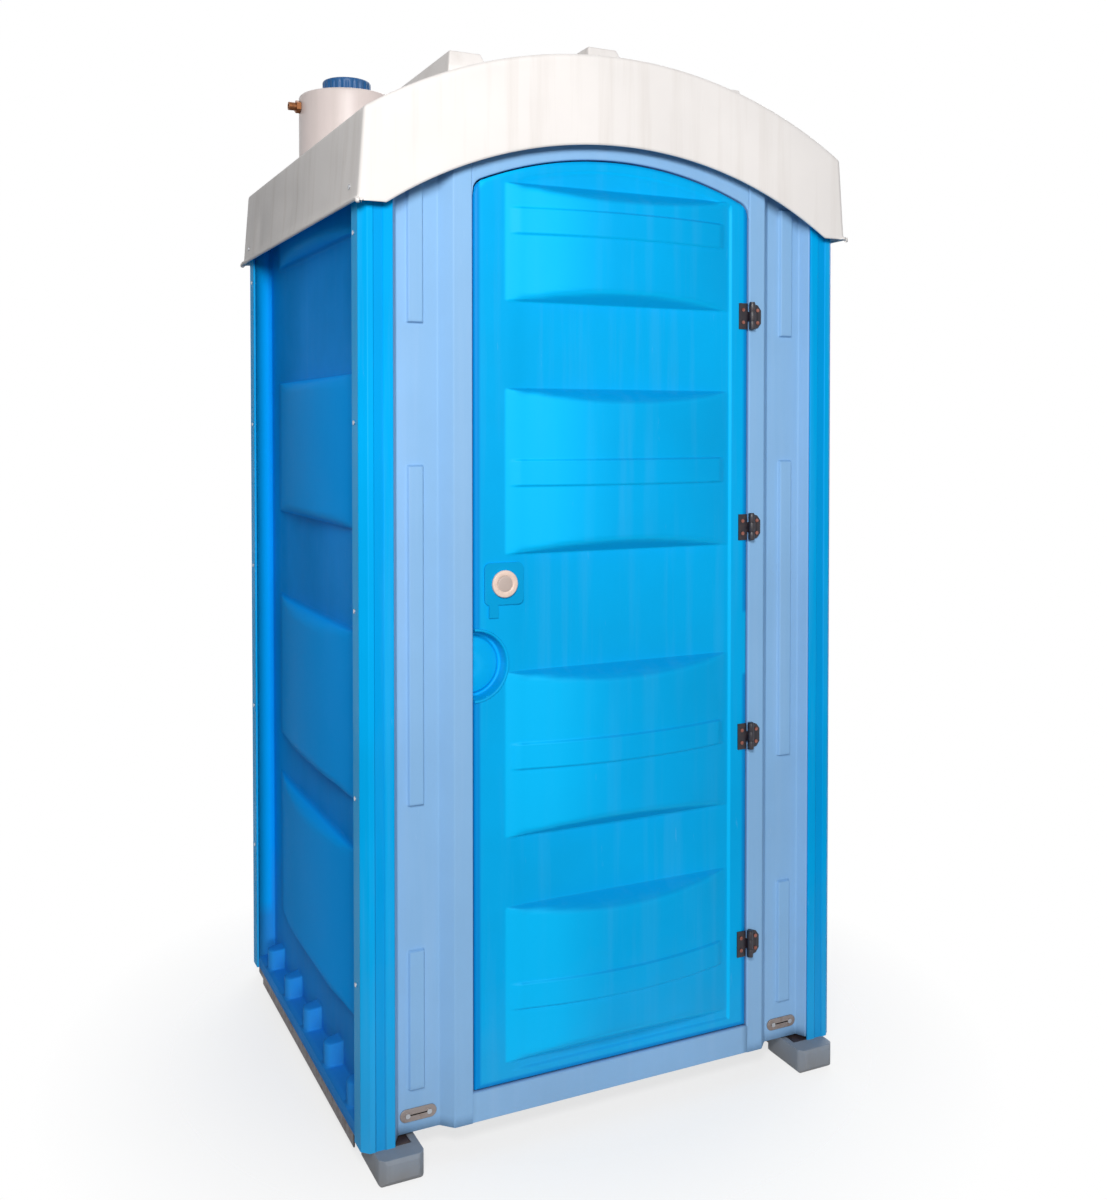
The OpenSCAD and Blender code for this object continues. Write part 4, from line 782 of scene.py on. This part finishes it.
def strip_plan(side):
    """Plan of a front strip from the door's reveal to behind the corner post, finely and evenly spaced."""
    points = [
        (REVEAL_HALF, -REVEAL), (REVEAL_HALF, -FRONT), (0.375, -FRONT), (0.400, -0.475), (0.488, -0.475),
        (0.5005, -0.4966), (0.540, -0.4966),
    ]
    line = fillet(points, [0, 0.0035, 0.006, 0.006, 0.005, 0.003, 0], 7)
    along = np.concatenate([[0], np.cumsum(np.hypot(*np.diff(line, axis=0).T))])
    t = np.unique(np.concatenate([along, np.arange(0, along[-1], 0.0016)]))
    return np.column_stack([np.interp(t, along, line[:, 0]), np.interp(t, along, line[:, 1])]) * (side, 1)


class CABIN_OT_front(bpy.types.Operator):
    """Moulds the front panel: two ribbed strips, the header over the door, the sill and the door stop"""

    bl_idname = "cabin.front"
    bl_label = "Front panel"

    def execute(self, context):
        strip_top, behind_roof, post_edge, corner_low = 1.985, 2.125, 0.5002, 1.952
        marks = [z for pair in STRIP_RIBS for z in pair] + [strip_top]
        zs = spread(0.062, behind_roof, 0.025, marks, 0.0012, 0.005)[:, None]
        pale, forward = ("Panel pale blue", "panel_plastic"), dict(facing=(0, -1, 0), thick=0.005)
        for side, label in SIDES:
            xy = strip_plan(side)
            ax = np.abs(xy[:, 0])[None, :]
            rib = sum(plateau(low, high, 0.004, zs) for low, high in STRIP_RIBS)
            rib = rib * plateau(0.431, 0.467, 0.004, ax) * sizes().strip_rib
            z = np.minimum(zs * np.ones_like(ax), np.where(ax > post_edge, strip_top, behind_roof))
            grid = np.stack([xy[:, 0] + 0 * z, xy[:, 1] - rib, z], -1)
            build("front_strip_" + label, [grid], *pale, ["front_panel"], **forward)
        x = spread(-0.3338, 0.3338, 0.012, (-REVEAL_HALF, REVEAL_HALF), 0.002, 0.034)
        low = np.where(np.abs(x) > REVEAL_HALF - 0.0015, corner_low, door_top(x, 0.003))
        rows = [(REVEAL, low), (0.4700, low), (0.4955, low), (0.4976, low + 0.0010), (HEADER, low + 0.0032)]
        rows += [(HEADER, low + 0.0032 + (2.12 - low) * t) for t in np.linspace(0.05, 1, 12)]
        grid = np.stack([np.column_stack([x, np.full_like(x, -depth), z]) for depth, z in rows])
        build("front_header", [grid], *pale, **forward)
        line = [(-REVEAL, SILL_TOP), (-FRONT, SILL_TOP), (-FRONT, 0.062), (-0.494, 0.062)]
        x = np.linspace(-0.336, 0.336, 40)
        rows = [np.column_stack([x, np.full_like(x, y), np.full_like(x, z)])
                for y, z in fillet(line, [0, 0.0035, 0.002, 0], 7)]
        build("front_sill", [np.stack(rows)], *pale, facing=(0, -1, 0), thick=0.004)
        section = [
            (0.032, REVEAL), (0.002, REVEAL), (-0.006, 0.4628), (-0.008, 0.4615), (-0.008, 0.4592),
            (-0.006, 0.458), (0.032, 0.458), (0.032, REVEAL),
        ]
        ring = (np.stack([door_loop(grow, depth) for grow, depth in section]), False, True)
        build("door_stop_rim", [ring], *pale, ["door_stop"])
        return {"FINISHED"}


def post_bar(name, outline, stands_for):
    """An upright bar: a plan outline carried from the base to the top, closed by two flat ends."""
    n = len(outline)
    verts = [(*xy, z) for z in (BASE, POST_TOP) for xy in outline.tolist()]
    sides = [(i, (i + 1) % n, n + (i + 1) % n, n + i) for i in range(n)]
    mesh = bpy.data.meshes.new(name)
    mesh.from_pydata(verts, [], sides + [tuple(range(n))[::-1], tuple(range(n, 2 * n))])
    obj = add_piece(name, mesh, "Post blue", stands_for)
    modifier(obj, "Even shading", "WEIGHTED_NORMAL", weight=90, keep_sharp=True)


class CABIN_OT_posts(bpy.types.Operator):
    """Draws the four fluted corner posts with softly rounded edges"""

    bl_idname = "cabin.posts"
    bl_label = "Corner posts"

    def execute(self, context):
        r = sizes().post_round
        bevel, thick, inner = 0.015, 0.006, -0.502
        left, right = -FLUTE_X - FLUTE_HALF, -FLUTE_X + FLUTE_HALF
        points = [
            (inner, -HALF_D), (right, -HALF_D), (right - 0.002, -HALF_D + 0.002),
            (left + 0.002, -HALF_D + 0.002), (left, -HALF_D), (-HALF_W + bevel, -HALF_D),
            (-HALF_W, -HALF_D + bevel), (-HALF_W, -WEB), (-HALF_W + thick, -WEB),
            (-HALF_W + thick, -HALF_D + bevel + thick / 2), (-HALF_W + bevel + thick / 2, -HALF_D + thick),
            (inner, -HALF_D + thick),
        ]
        radii = [r, 0.001, 0.0008, 0.0008, 0.001, 0.004, 0.004, r, r, 0.002, 0.002, r]
        outline = fillet(points, radii, 5)
        for end, y in (("front", 1), ("rear", -1)):
            for x, side in SIDES:
                label = end + "_" + side
                post_bar("corner_post_" + label, outline * (-x, y), ["post_" + label])
        return {"FINISHED"}


def wall_grids(half, plane, inner, width, top, lugs, place):
    """Outer and inner faces of a wall panel, joined round their border.

    The outer face starts behind one post, runs in to the sunk field, carries the cushions, the ledge at
    the foot and the half-round lugs on it, and runs out again behind the other post. top gives the height
    of the upper edge, and place turns distance along the wall, depth and height into coordinates.
    """
    s = sizes()
    line = [(-half, plane + RETURN), (-half, plane), (half, plane), (half, plane + RETURN)]
    line = fillet(line, [0, 0.004, 0.004, 0], 7)
    lug_at = [i * LUG_PITCH for i in (-2, -1, 0, 1, 2)] if lugs else []
    marks = [-width / 2, width / 2] + [c + d for c in lug_at for d in (-0.021, 0.021)]
    inside = spread(-half + 0.006, half - 0.006, 0.012, marks, 0.0018, 0.006)
    mid = len(line) // 2
    u = np.concatenate([line[:mid, 0], inside, line[mid:, 0]])
    base = np.concatenate([line[:mid, 1], np.full(len(inside), plane), line[mid:, 1]])
    ledge_top = BASE + s.ledge
    marks = [ledge_top, LUG_TOP] + [z for pair in WALL_CUSHIONS for z in pair]
    u, z = np.meshgrid(u, spread(BASE, 2.10 if lugs else 2.19, 0.014, marks, 0.002, 0.006))
    relief = sum(cushion(u, z, width / 2, s.wall_bow, *ends, s.wall_slope) for ends in WALL_CUSHIONS)
    ledge = LEDGE_REACH * (1 - step(ledge_top - 0.004, ledge_top + 0.001, z))
    for c in lug_at:
        d = np.abs(u - c)
        lug = np.sqrt(np.maximum(LUG_R ** 2 - d * d, 0)) + LUG_STAND * (1 - step(0.0208, 0.0222, d))
        ledge = np.maximum(ledge, lug * (1 - step(LUG_TOP - 0.003, LUG_TOP + 0.001, z)))
    depth = base[None, :] + np.where(np.abs(u) < half - 0.001, relief + ledge, 0)
    z = np.minimum(z, top(u))
    outer = place(u, np.minimum(depth, plane + LEDGE_REACH), z)
    sunk = sum(plateau(low + 0.024, high - 0.024, 0.006, z) for low, high in WALL_CUSHIONS[:3])
    sunk = sunk * plateau(-width / 2 + 0.024, width / 2 - 0.024, 0.006, u)
    u_in = np.where(np.abs(u) > half - 0.003, np.sign(u) * (half + 0.0065), u)
    if lugs:
        u_in = np.where(u < -half + 0.003, -0.490, u_in)
    face = place(u_in, inner + 0.002 * sunk, z)
    return [outer, face, between(outline_of(outer), outline_of(face))]


class CABIN_OT_walls(bpy.types.Operator):
    """Moulds the two side walls and the rear wall with their cushions, ledges and lugs"""

    bl_idname = "cabin.walls"
    bl_label = "Walls"

    def execute(self, context):
        s = sizes()
        for side, label in SIDES:
            grids = wall_grids(
                WEB, WALL, 0.510, s.side_cushion, lambda u: 2.10, True,
                lambda u, d, z: np.stack([side * d, u, z], -1),
            )
            build("side_wall_" + label, grids, "Wall blue", "wall_plastic", ["wall_" + label])
        grids = wall_grids(
            0.502, REAR, 0.443, s.rear_cushion, lambda u: 1.1988 + np.sqrt(1.058 ** 2 - u * u), False,
            lambda u, d, z: np.stack([u, d, z], -1),
        )
        build("back_wall", grids, "Wall blue", "wall_plastic", ["wall_rear"])
        return {"FINISHED"}


def roof_z(x):
    """Height of the roof's vault at x."""
    return CROWN - CROWN_R + np.sqrt(CROWN_R ** 2 - np.square(x))


def roof_section(n_side=26, n_arch=110):
    """Section of the roof from the left lip over the vault to the right lip, with its outward normals."""
    points = [
        (-LIP, EAVES), (-LIP, EAVES + 0.008), (-0.5795, EAVES + 0.008), (-SKIRT_TOP, SKIRT_Z),
        (-0.5, float(roof_z(0.5))),
    ]
    left = fillet(points, [0, 0.0022, 0.004, sizes().roof_round, 0], 6)[:-1]
    low, high = left[-7], left[-6]
    side = low + (high - low) * np.linspace(0, 1, n_side)[1:-1, None]
    left = np.concatenate([left[:-6], side, left[-6:]])
    x = np.linspace(left[-1, 0] + 0.006, -left[-1, 0] - 0.006, n_arch)
    line = np.concatenate([left, np.column_stack([x, roof_z(x)]), left[::-1] * (-1, 1)])
    tangent = np.gradient(line, axis=0)
    tangent /= np.linalg.norm(tangent, axis=1)[:, None] + 1e-12
    return line, np.column_stack([-tangent[:, 1], tangent[:, 0]])


def cut_line(n, side=0.16):
    """The lower edge of the fascia, one point for each of the n points of the section.

    The first and the last points, a share of side each, go to the straight part under them, and the
    points of the vault go to the arc.
    """
    s = np.linspace(0, 1, n)
    arc_a = math.asin(CUT_HALF / CUT_R)
    ang = np.interp(s, [side, 1 - side], [-arc_a, arc_a])
    x, z = CUT_R * np.sin(ang), CUT_TOP - CUT_R + CUT_R * np.cos(ang)
    x = np.where(s < side, np.interp(s, [0, side], [-LIP, -CUT_HALF]), x)
    x = np.where(s > 1 - side, np.interp(s, [1 - side, 1], [CUT_HALF, LIP]), x)
    z = np.where((s < side) | (s > 1 - side), EAVES, np.maximum(z, EAVES))
    return np.column_stack([x, z])


def roof_grids():
    """The roof's hull, its section carried from front to back, and the fascias at both ends.

    The hull's ends are drawn in along a quarter circle, and its sides carry slight waves, a product of
    sines of place and height. The rows of a fascia go straight from the hull's end to the cut line.
    """
    line, normal = roof_section()
    z = line[:, 1]
    r = sizes().roof_round
    quarter = np.linspace(0, math.pi / 2, 7)[::-1]
    ends = [(-SKIRT_Y + r * (1 - math.sin(a)), r * (1 - math.cos(a))) for a in quarter]
    run = np.arange(-SKIRT_Y + r + 0.008, SKIRT_Y - r - 0.004, 0.0085)
    stations = ends + [(float(y), 0.0) for y in run] + [(-y, d) for y, d in ends[::-1]]
    edge_z = float(roof_z(SKIRT_TOP))
    on_side = (1 - step(edge_z - 0.10, edge_z - 0.04, z)) * step(EAVES + 0.010, EAVES + 0.03, z)
    hull = []
    for y, inset in stations:
        wave = 0.0022 * on_side * (1 - step(0.34, 0.42, abs(y)))
        wave = wave * (math.sin(17 * y + 1.0) * np.sin(13 * z + 3 * y) + 1)
        draw = inset * np.minimum(1, (z - EAVES) / 0.010) + wave
        p = line - normal * draw[:, None]
        hull.append(np.column_stack([p[:, 0], np.full(len(p), y), p[:, 1]]))
    grids = [np.stack(hull)]
    cut = cut_line(len(line))
    for start, sign in ((hull[0][:, [0, 2]], -1), (hull[-1][:, [0, 2]], 1)):
        fade = [(t, SKIRT_Y) for t in (0, 0.04, 0.12, 0.25, 0.4, 0.55, 0.7, 0.82, 0.91, 0.97)]
        fade.append((1, SKIRT_Y - 0.0006))
        rows = [np.insert(start * (1 - t) + cut * t, 1, sign * y, 1) for t, y in fade]
        grids.append(np.stack(rows))
    return grids


def in_tank(centres):
    """Marks the faces of the vault that lie inside the tank."""
    return (np.hypot(centres[:, 0] - TANK[0], centres[:, 1] - TANK[1]) < 0.113) & (centres[:, 2] > 2.06)


def rib_points(x0, y1):
    """A raised rib along the vault: flat on top, with sloped sides and ends and a soft edge between."""
    w, y0, h = RIB_HALF, RIB_FRONT, sizes().roof_rib
    xs = spread(x0 - w, x0 + w, 0.006, (x0 - w, x0 + w), 0.002, 0.014)
    x, y = np.meshgrid(xs, spread(y0, y1, 0.012, (y0, y1), 0.003, 0.05))
    slopes = [(w - np.abs(x - x0)) * h / 0.012, (y - y0) * h / 0.024, (y1 - y) * h / 0.024]
    rise = soft_min(0.0022, *slopes, h + 0.0008)
    z = np.where(rise <= 0.0005, roof_z(x) - 0.003, float(roof_z(x0)) + np.minimum(rise, h))
    return np.stack([x, y, z], -1)


class CABIN_OT_roof(bpy.types.Operator):
    """Moulds the vaulted roof with its skirt and fascia, its hollow ribs and the seal round the tank"""

    bl_idname = "cabin.roof"
    bl_label = "Roof"

    def execute(self, context):
        white, up = ("Roof white", "roof_plastic"), (0, 0, 1)
        build("roof_moulding", roof_grids(), *white, ["roof_shell"], facing=up, thick=0.0045, drop=in_tank,
              weld=2e-5)
        for label, x0, y1 in ROOF_RIBS:
            rib = rib_points(x0, y1)
            build("roof_rib_" + label, [rib], *white, facing=up)
            edge = outline_of(rib)
            foot = np.column_stack([edge[:, :2], roof_z(edge[:, 0]) - 0.004])
            build("roof_rib_foot_" + label, [between(edge, foot)], *white)
        t = np.linspace(0, 2 * math.pi, 73)[:-1]
        p = np.linspace(0, 2 * math.pi, 17)[:-1]
        tt, pp = np.meshgrid(t, p, indexing="ij")
        rr = TANK_R + 0.0035 + 0.0055 * np.cos(pp)
        x, y = TANK[0] + rr * np.cos(tt), TANK[1] + rr * np.sin(tt)
        seal = np.stack([x, y, roof_z(x) + 0.0015 + 0.0055 * np.sin(pp)], -1)
        build("tank_seal", [(seal, True, True)], "Grey plastic", "grey_plastic")
        return {"FINISHED"}


def grip(t, profile):
    """Finger grooves round the cap's rim, fading out under its top edge: a squared wave of the angle."""
    r, z = profile[:, 0], profile[:, 1] - TANK_TOP
    rim = step(0.058, 0.060, r) * step(0.001, 0.004, z) * (1 - step(0.030, 0.037, z))
    return -0.0024 * rim[:, None] * (0.5 + 0.5 * np.cos(24 * t[None, :])) ** 2


class CABIN_OT_tank(bpy.types.Operator):
    """Turns the roof tank with its filler opening, and the ribbed cap"""

    bl_idname = "cabin.tank"
    bl_label = "Tank and cap"

    def execute(self, context):
        low, top, wall, mouth, rows = TANK_LOW, TANK_TOP, 0.004, 0.052, 24
        body = fillet(
            [(0.0, low), (TANK_R, low), (TANK_R, top), (mouth, top), (mouth, top - 0.008),
             (TANK_R - wall, top - 0.008), (TANK_R - wall, low + wall), (0.0, low + wall)],
            [0, 0.008, 0.007, 0.0015, 0.001, 0.006, 0.006, 0], 7,
        )
        side = np.column_stack([np.full(rows, TANK_R), np.linspace(low + 0.02, top - 0.02, rows)])
        cut = int(np.argmax(body[:, 1] > (low + top) / 2))
        body = np.concatenate([body[:cut], side, body[cut:]])
        build("tank_body", [turned(body, TANK, "z", 96)], "Tank shell", "tank_plastic", ["water_tank"])
        ring = [(0.1285, 2.1105), (0.1285, 2.1185), (0.1195, 2.1185), (0.1195, 2.1105)]
        ring = turned(fillet(ring, [0.001] * 4, 3), TANK, "z", 96)[0]
        build("tank_shoulder", [(ring, True, True)], "Tank shell", "tank_plastic")
        profile = fillet(
            [(0.0, top + 0.0385), (0.040, top + 0.0385), (0.044, top + 0.042), (0.061, top + 0.042),
             (0.061, top + 0.0004), (0.0516, top + 0.0004), (0.0516, top - 0.014), (0.047, top - 0.014),
             (0.047, top - 0.001), (0.0, top - 0.001)],
            [0, 0.002, 0.002, 0.006, 0.0012, 0.0005, 0.001, 0.001, 0.001, 0], 6,
        )
        dense = []
        for a, b in zip(profile[:-1], profile[1:]):
            n = max(1, int(math.dist(a, b) / 0.004))
            dense += [a + (b - a) * i / n for i in range(n)]
        cap = turned(dense + [profile[-1]], TANK, "z", 240, ripple=grip)
        build("filler_cap", [cap], "Cap blue", "cap_plastic", ["tank_cap"], "cap")
        return {"FINISHED"}


class CABIN_OT_lock(bpy.types.Operator):
    """Turns the lock's disc with its darker middle"""

    bl_idname = "cabin.lock"
    bl_label = "Lock disc"

    def execute(self, context):
        profile = [
            (0.0, -0.5105), (0.0125, -0.5105), (0.0150, -0.5100), (0.0162, -0.5095), (0.0172, -0.5100),
            (0.0184, -0.5111), (0.0200, -0.5113), (0.0255, -0.5113), (0.0270, -0.5108), (0.0280, -0.5095),
            (0.0280, -0.5052), (0.0276, -0.5044), (0.0, -0.5044),
        ]
        grid = turned(profile, LOCK, "y", 72)
        build("lock_turn_disc", [grid], "Lock disc", "disc_plastic", ["lock_disc"], "lock_turner")
        return {"FINISHED"}


class CABIN_OT_fittings(bpy.types.Operator):
    """Gives the parts that keep their modelled shape their materials and softened edges"""

    bl_idname = "cabin.fittings"
    bl_label = "Base and fittings"

    def execute(self, context):
        for names, finish_name, *bevel in FITTINGS:
            dress(names.split(), finish(finish_name), *bevel)
        return {"FINISHED"}


# ---------------------------------------------------------------- stage


def seen_white(net):
    """One for the rays of the camera, of mirrors and of clear parts, nought for the light on the cabin."""
    rays = net.add("ShaderNodeLightPath")
    return net.most(net.most(rays["Is Camera Ray"], rays["Is Glossy Ray"]), rays["Is Transmission Ray"])


def ground_material():
    """White floor that keeps the cabin's shadow near it and fades out to the white of the world."""
    material, net, shader, output = new_material("Ground")
    shader.inputs["Base Color"].default_value = (0.92, 0.92, 0.92, 1)
    shader.inputs["Roughness"].default_value = 0.9
    shader.inputs["Specular IOR Level"].default_value = 0.0
    x, y, _ = net.split(net.coordinates("Object"))
    near = net.ramp(net.radius(x, y), 0.62, 1.15, 1.0, 0.0)
    net.feed(shader.inputs["Alpha"], near)
    glow = net.add("ShaderNodeEmission", {"Color": (1, 1, 1, 1), "Strength": 1.0})[0]
    clear = net.add("ShaderNodeBsdfTransparent")[0]
    faded = net.add("ShaderNodeMixShader", {0: near, 1: clear, 2: glow})[0]
    share = net.times(seen_white(net), 0.72)
    floor = net.add("ShaderNodeMixShader", {0: share, 1: shader.outputs[0], 2: faded})[0]
    net.feed(output.inputs[0], floor)
    return material


def studio_world():
    """A world that looks white and lights the cabin with a weak, slightly blue light."""
    world = bpy.data.worlds.new("Studio")
    world.use_nodes = True
    net = Net(world.node_tree)
    net.tree.nodes.clear()
    shade = net.add("ShaderNodeBackground", {"Color": (0.90, 0.95, 1.0, 1), "Strength": 0.20})[0]
    white = net.add("ShaderNodeBackground", {"Color": (1, 1, 1, 1), "Strength": 1.0})[0]
    mix = net.add("ShaderNodeMixShader", {0: seen_white(net), 1: shade, 2: white})[0]
    net.feed(net.tree.nodes.new("ShaderNodeOutputWorld").inputs[0], mix)
    return world


def lamp(name, kind, energy, turn, tint, **values):
    data = bpy.data.lights.new(name, kind)
    data.energy = energy
    data.color = tint
    for key, value in values.items():
        setattr(data, key, value)
    obj = bpy.data.objects.new(name, data)
    obj.rotation_euler = turn
    bpy.context.scene.collection.objects.link(obj)
    return obj


def aim(place, target):
    """Rotation that points a lamp at place towards target."""
    return (Vector(target) - Vector(place)).to_track_quat("-Z", "Y").to_euler()


class CABIN_OT_stage(bpy.types.Operator):
    """Sets up the white ground, the lights and the camera"""

    bl_idname = "cabin.stage"
    bl_label = "Stage"

    def execute(self, context):
        scene = context.scene
        mesh = bpy.data.meshes.new("ground")
        mesh.from_pydata([(-9, -9, 0), (9, -9, 0), (9, 9, 0), (-9, 9, 0)], [], [(0, 1, 2, 3)])
        mesh.materials.append(ground_material())
        ground = bpy.data.objects.new("ground", mesh)
        scene.collection.objects.link(ground)
        scene.world = studio_world()
        turn = aim(KEY_PLACE, (-0.1, -0.4, 1.3))
        key = lamp("Key", "AREA", 71.0, turn, (1.0, 0.985, 0.965), shape="DISK", size=0.9)
        key.location = KEY_PLACE
        key.visible_camera = False
        turn = Euler((math.radians(80), 0, math.radians(-9)))
        lamp("Front", "SUN", 0.82, turn, (0.97, 0.985, 1.0), angle=math.radians(12))
        lamp("Back", "SUN", 1.5, aim(BACK_PLACE, (0, 0, 0)), (0.98, 0.99, 1.0), angle=math.radians(50))
        data = bpy.data.cameras.new("Camera")
        data.lens = 37.35
        data.shift_y = -0.119
        camera = bpy.data.objects.new("Camera", data)
        camera.location = CAMERA_PLACE
        camera.rotation_euler = CAMERA_TURN
        scene.collection.objects.link(camera)
        scene.camera = camera
        scene.view_settings.view_transform = "Standard"
        return {"FINISHED"}


class CABIN_PT_panel(bpy.types.Panel):
    """Lists the cabin's pieces, sizes and colours"""

    bl_label = "Portable shower cabin"
    bl_idname = "CABIN_PT_panel"
    bl_space_type = "VIEW_3D"
    bl_region_type = "UI"
    bl_category = "Cabin"

    def draw(self, context):
        column = self.layout.column()
        for group in (context.scene.cabin_sizes, context.scene.cabin_colours):
            for key in group.__annotations__:
                column.prop(group, key)
        for operator in STEPS:
            column.operator(operator.bl_idname)


STEPS = (
    CABIN_OT_door, CABIN_OT_front, CABIN_OT_posts, CABIN_OT_walls, CABIN_OT_roof, CABIN_OT_tank,
    CABIN_OT_lock, CABIN_OT_fittings, CABIN_OT_stage,
)
CLASSES = (CabinSizes, CabinColours, *STEPS, CABIN_PT_panel)


def register():
    for cls in CLASSES:
        bpy.utils.register_class(cls)
    bpy.types.Scene.cabin_sizes = PointerProperty(type=CabinSizes)
    bpy.types.Scene.cabin_colours = PointerProperty(type=CabinColours)


def unregister():
    del bpy.types.Scene.cabin_colours
    del bpy.types.Scene.cabin_sizes
    for cls in reversed(CLASSES):
        bpy.utils.unregister_class(cls)


def main():
    register()
    for operator in STEPS:
        getattr(bpy.ops.cabin, operator.__name__.removeprefix("CABIN_OT_"))()


if __name__ == "__main__":
    main()
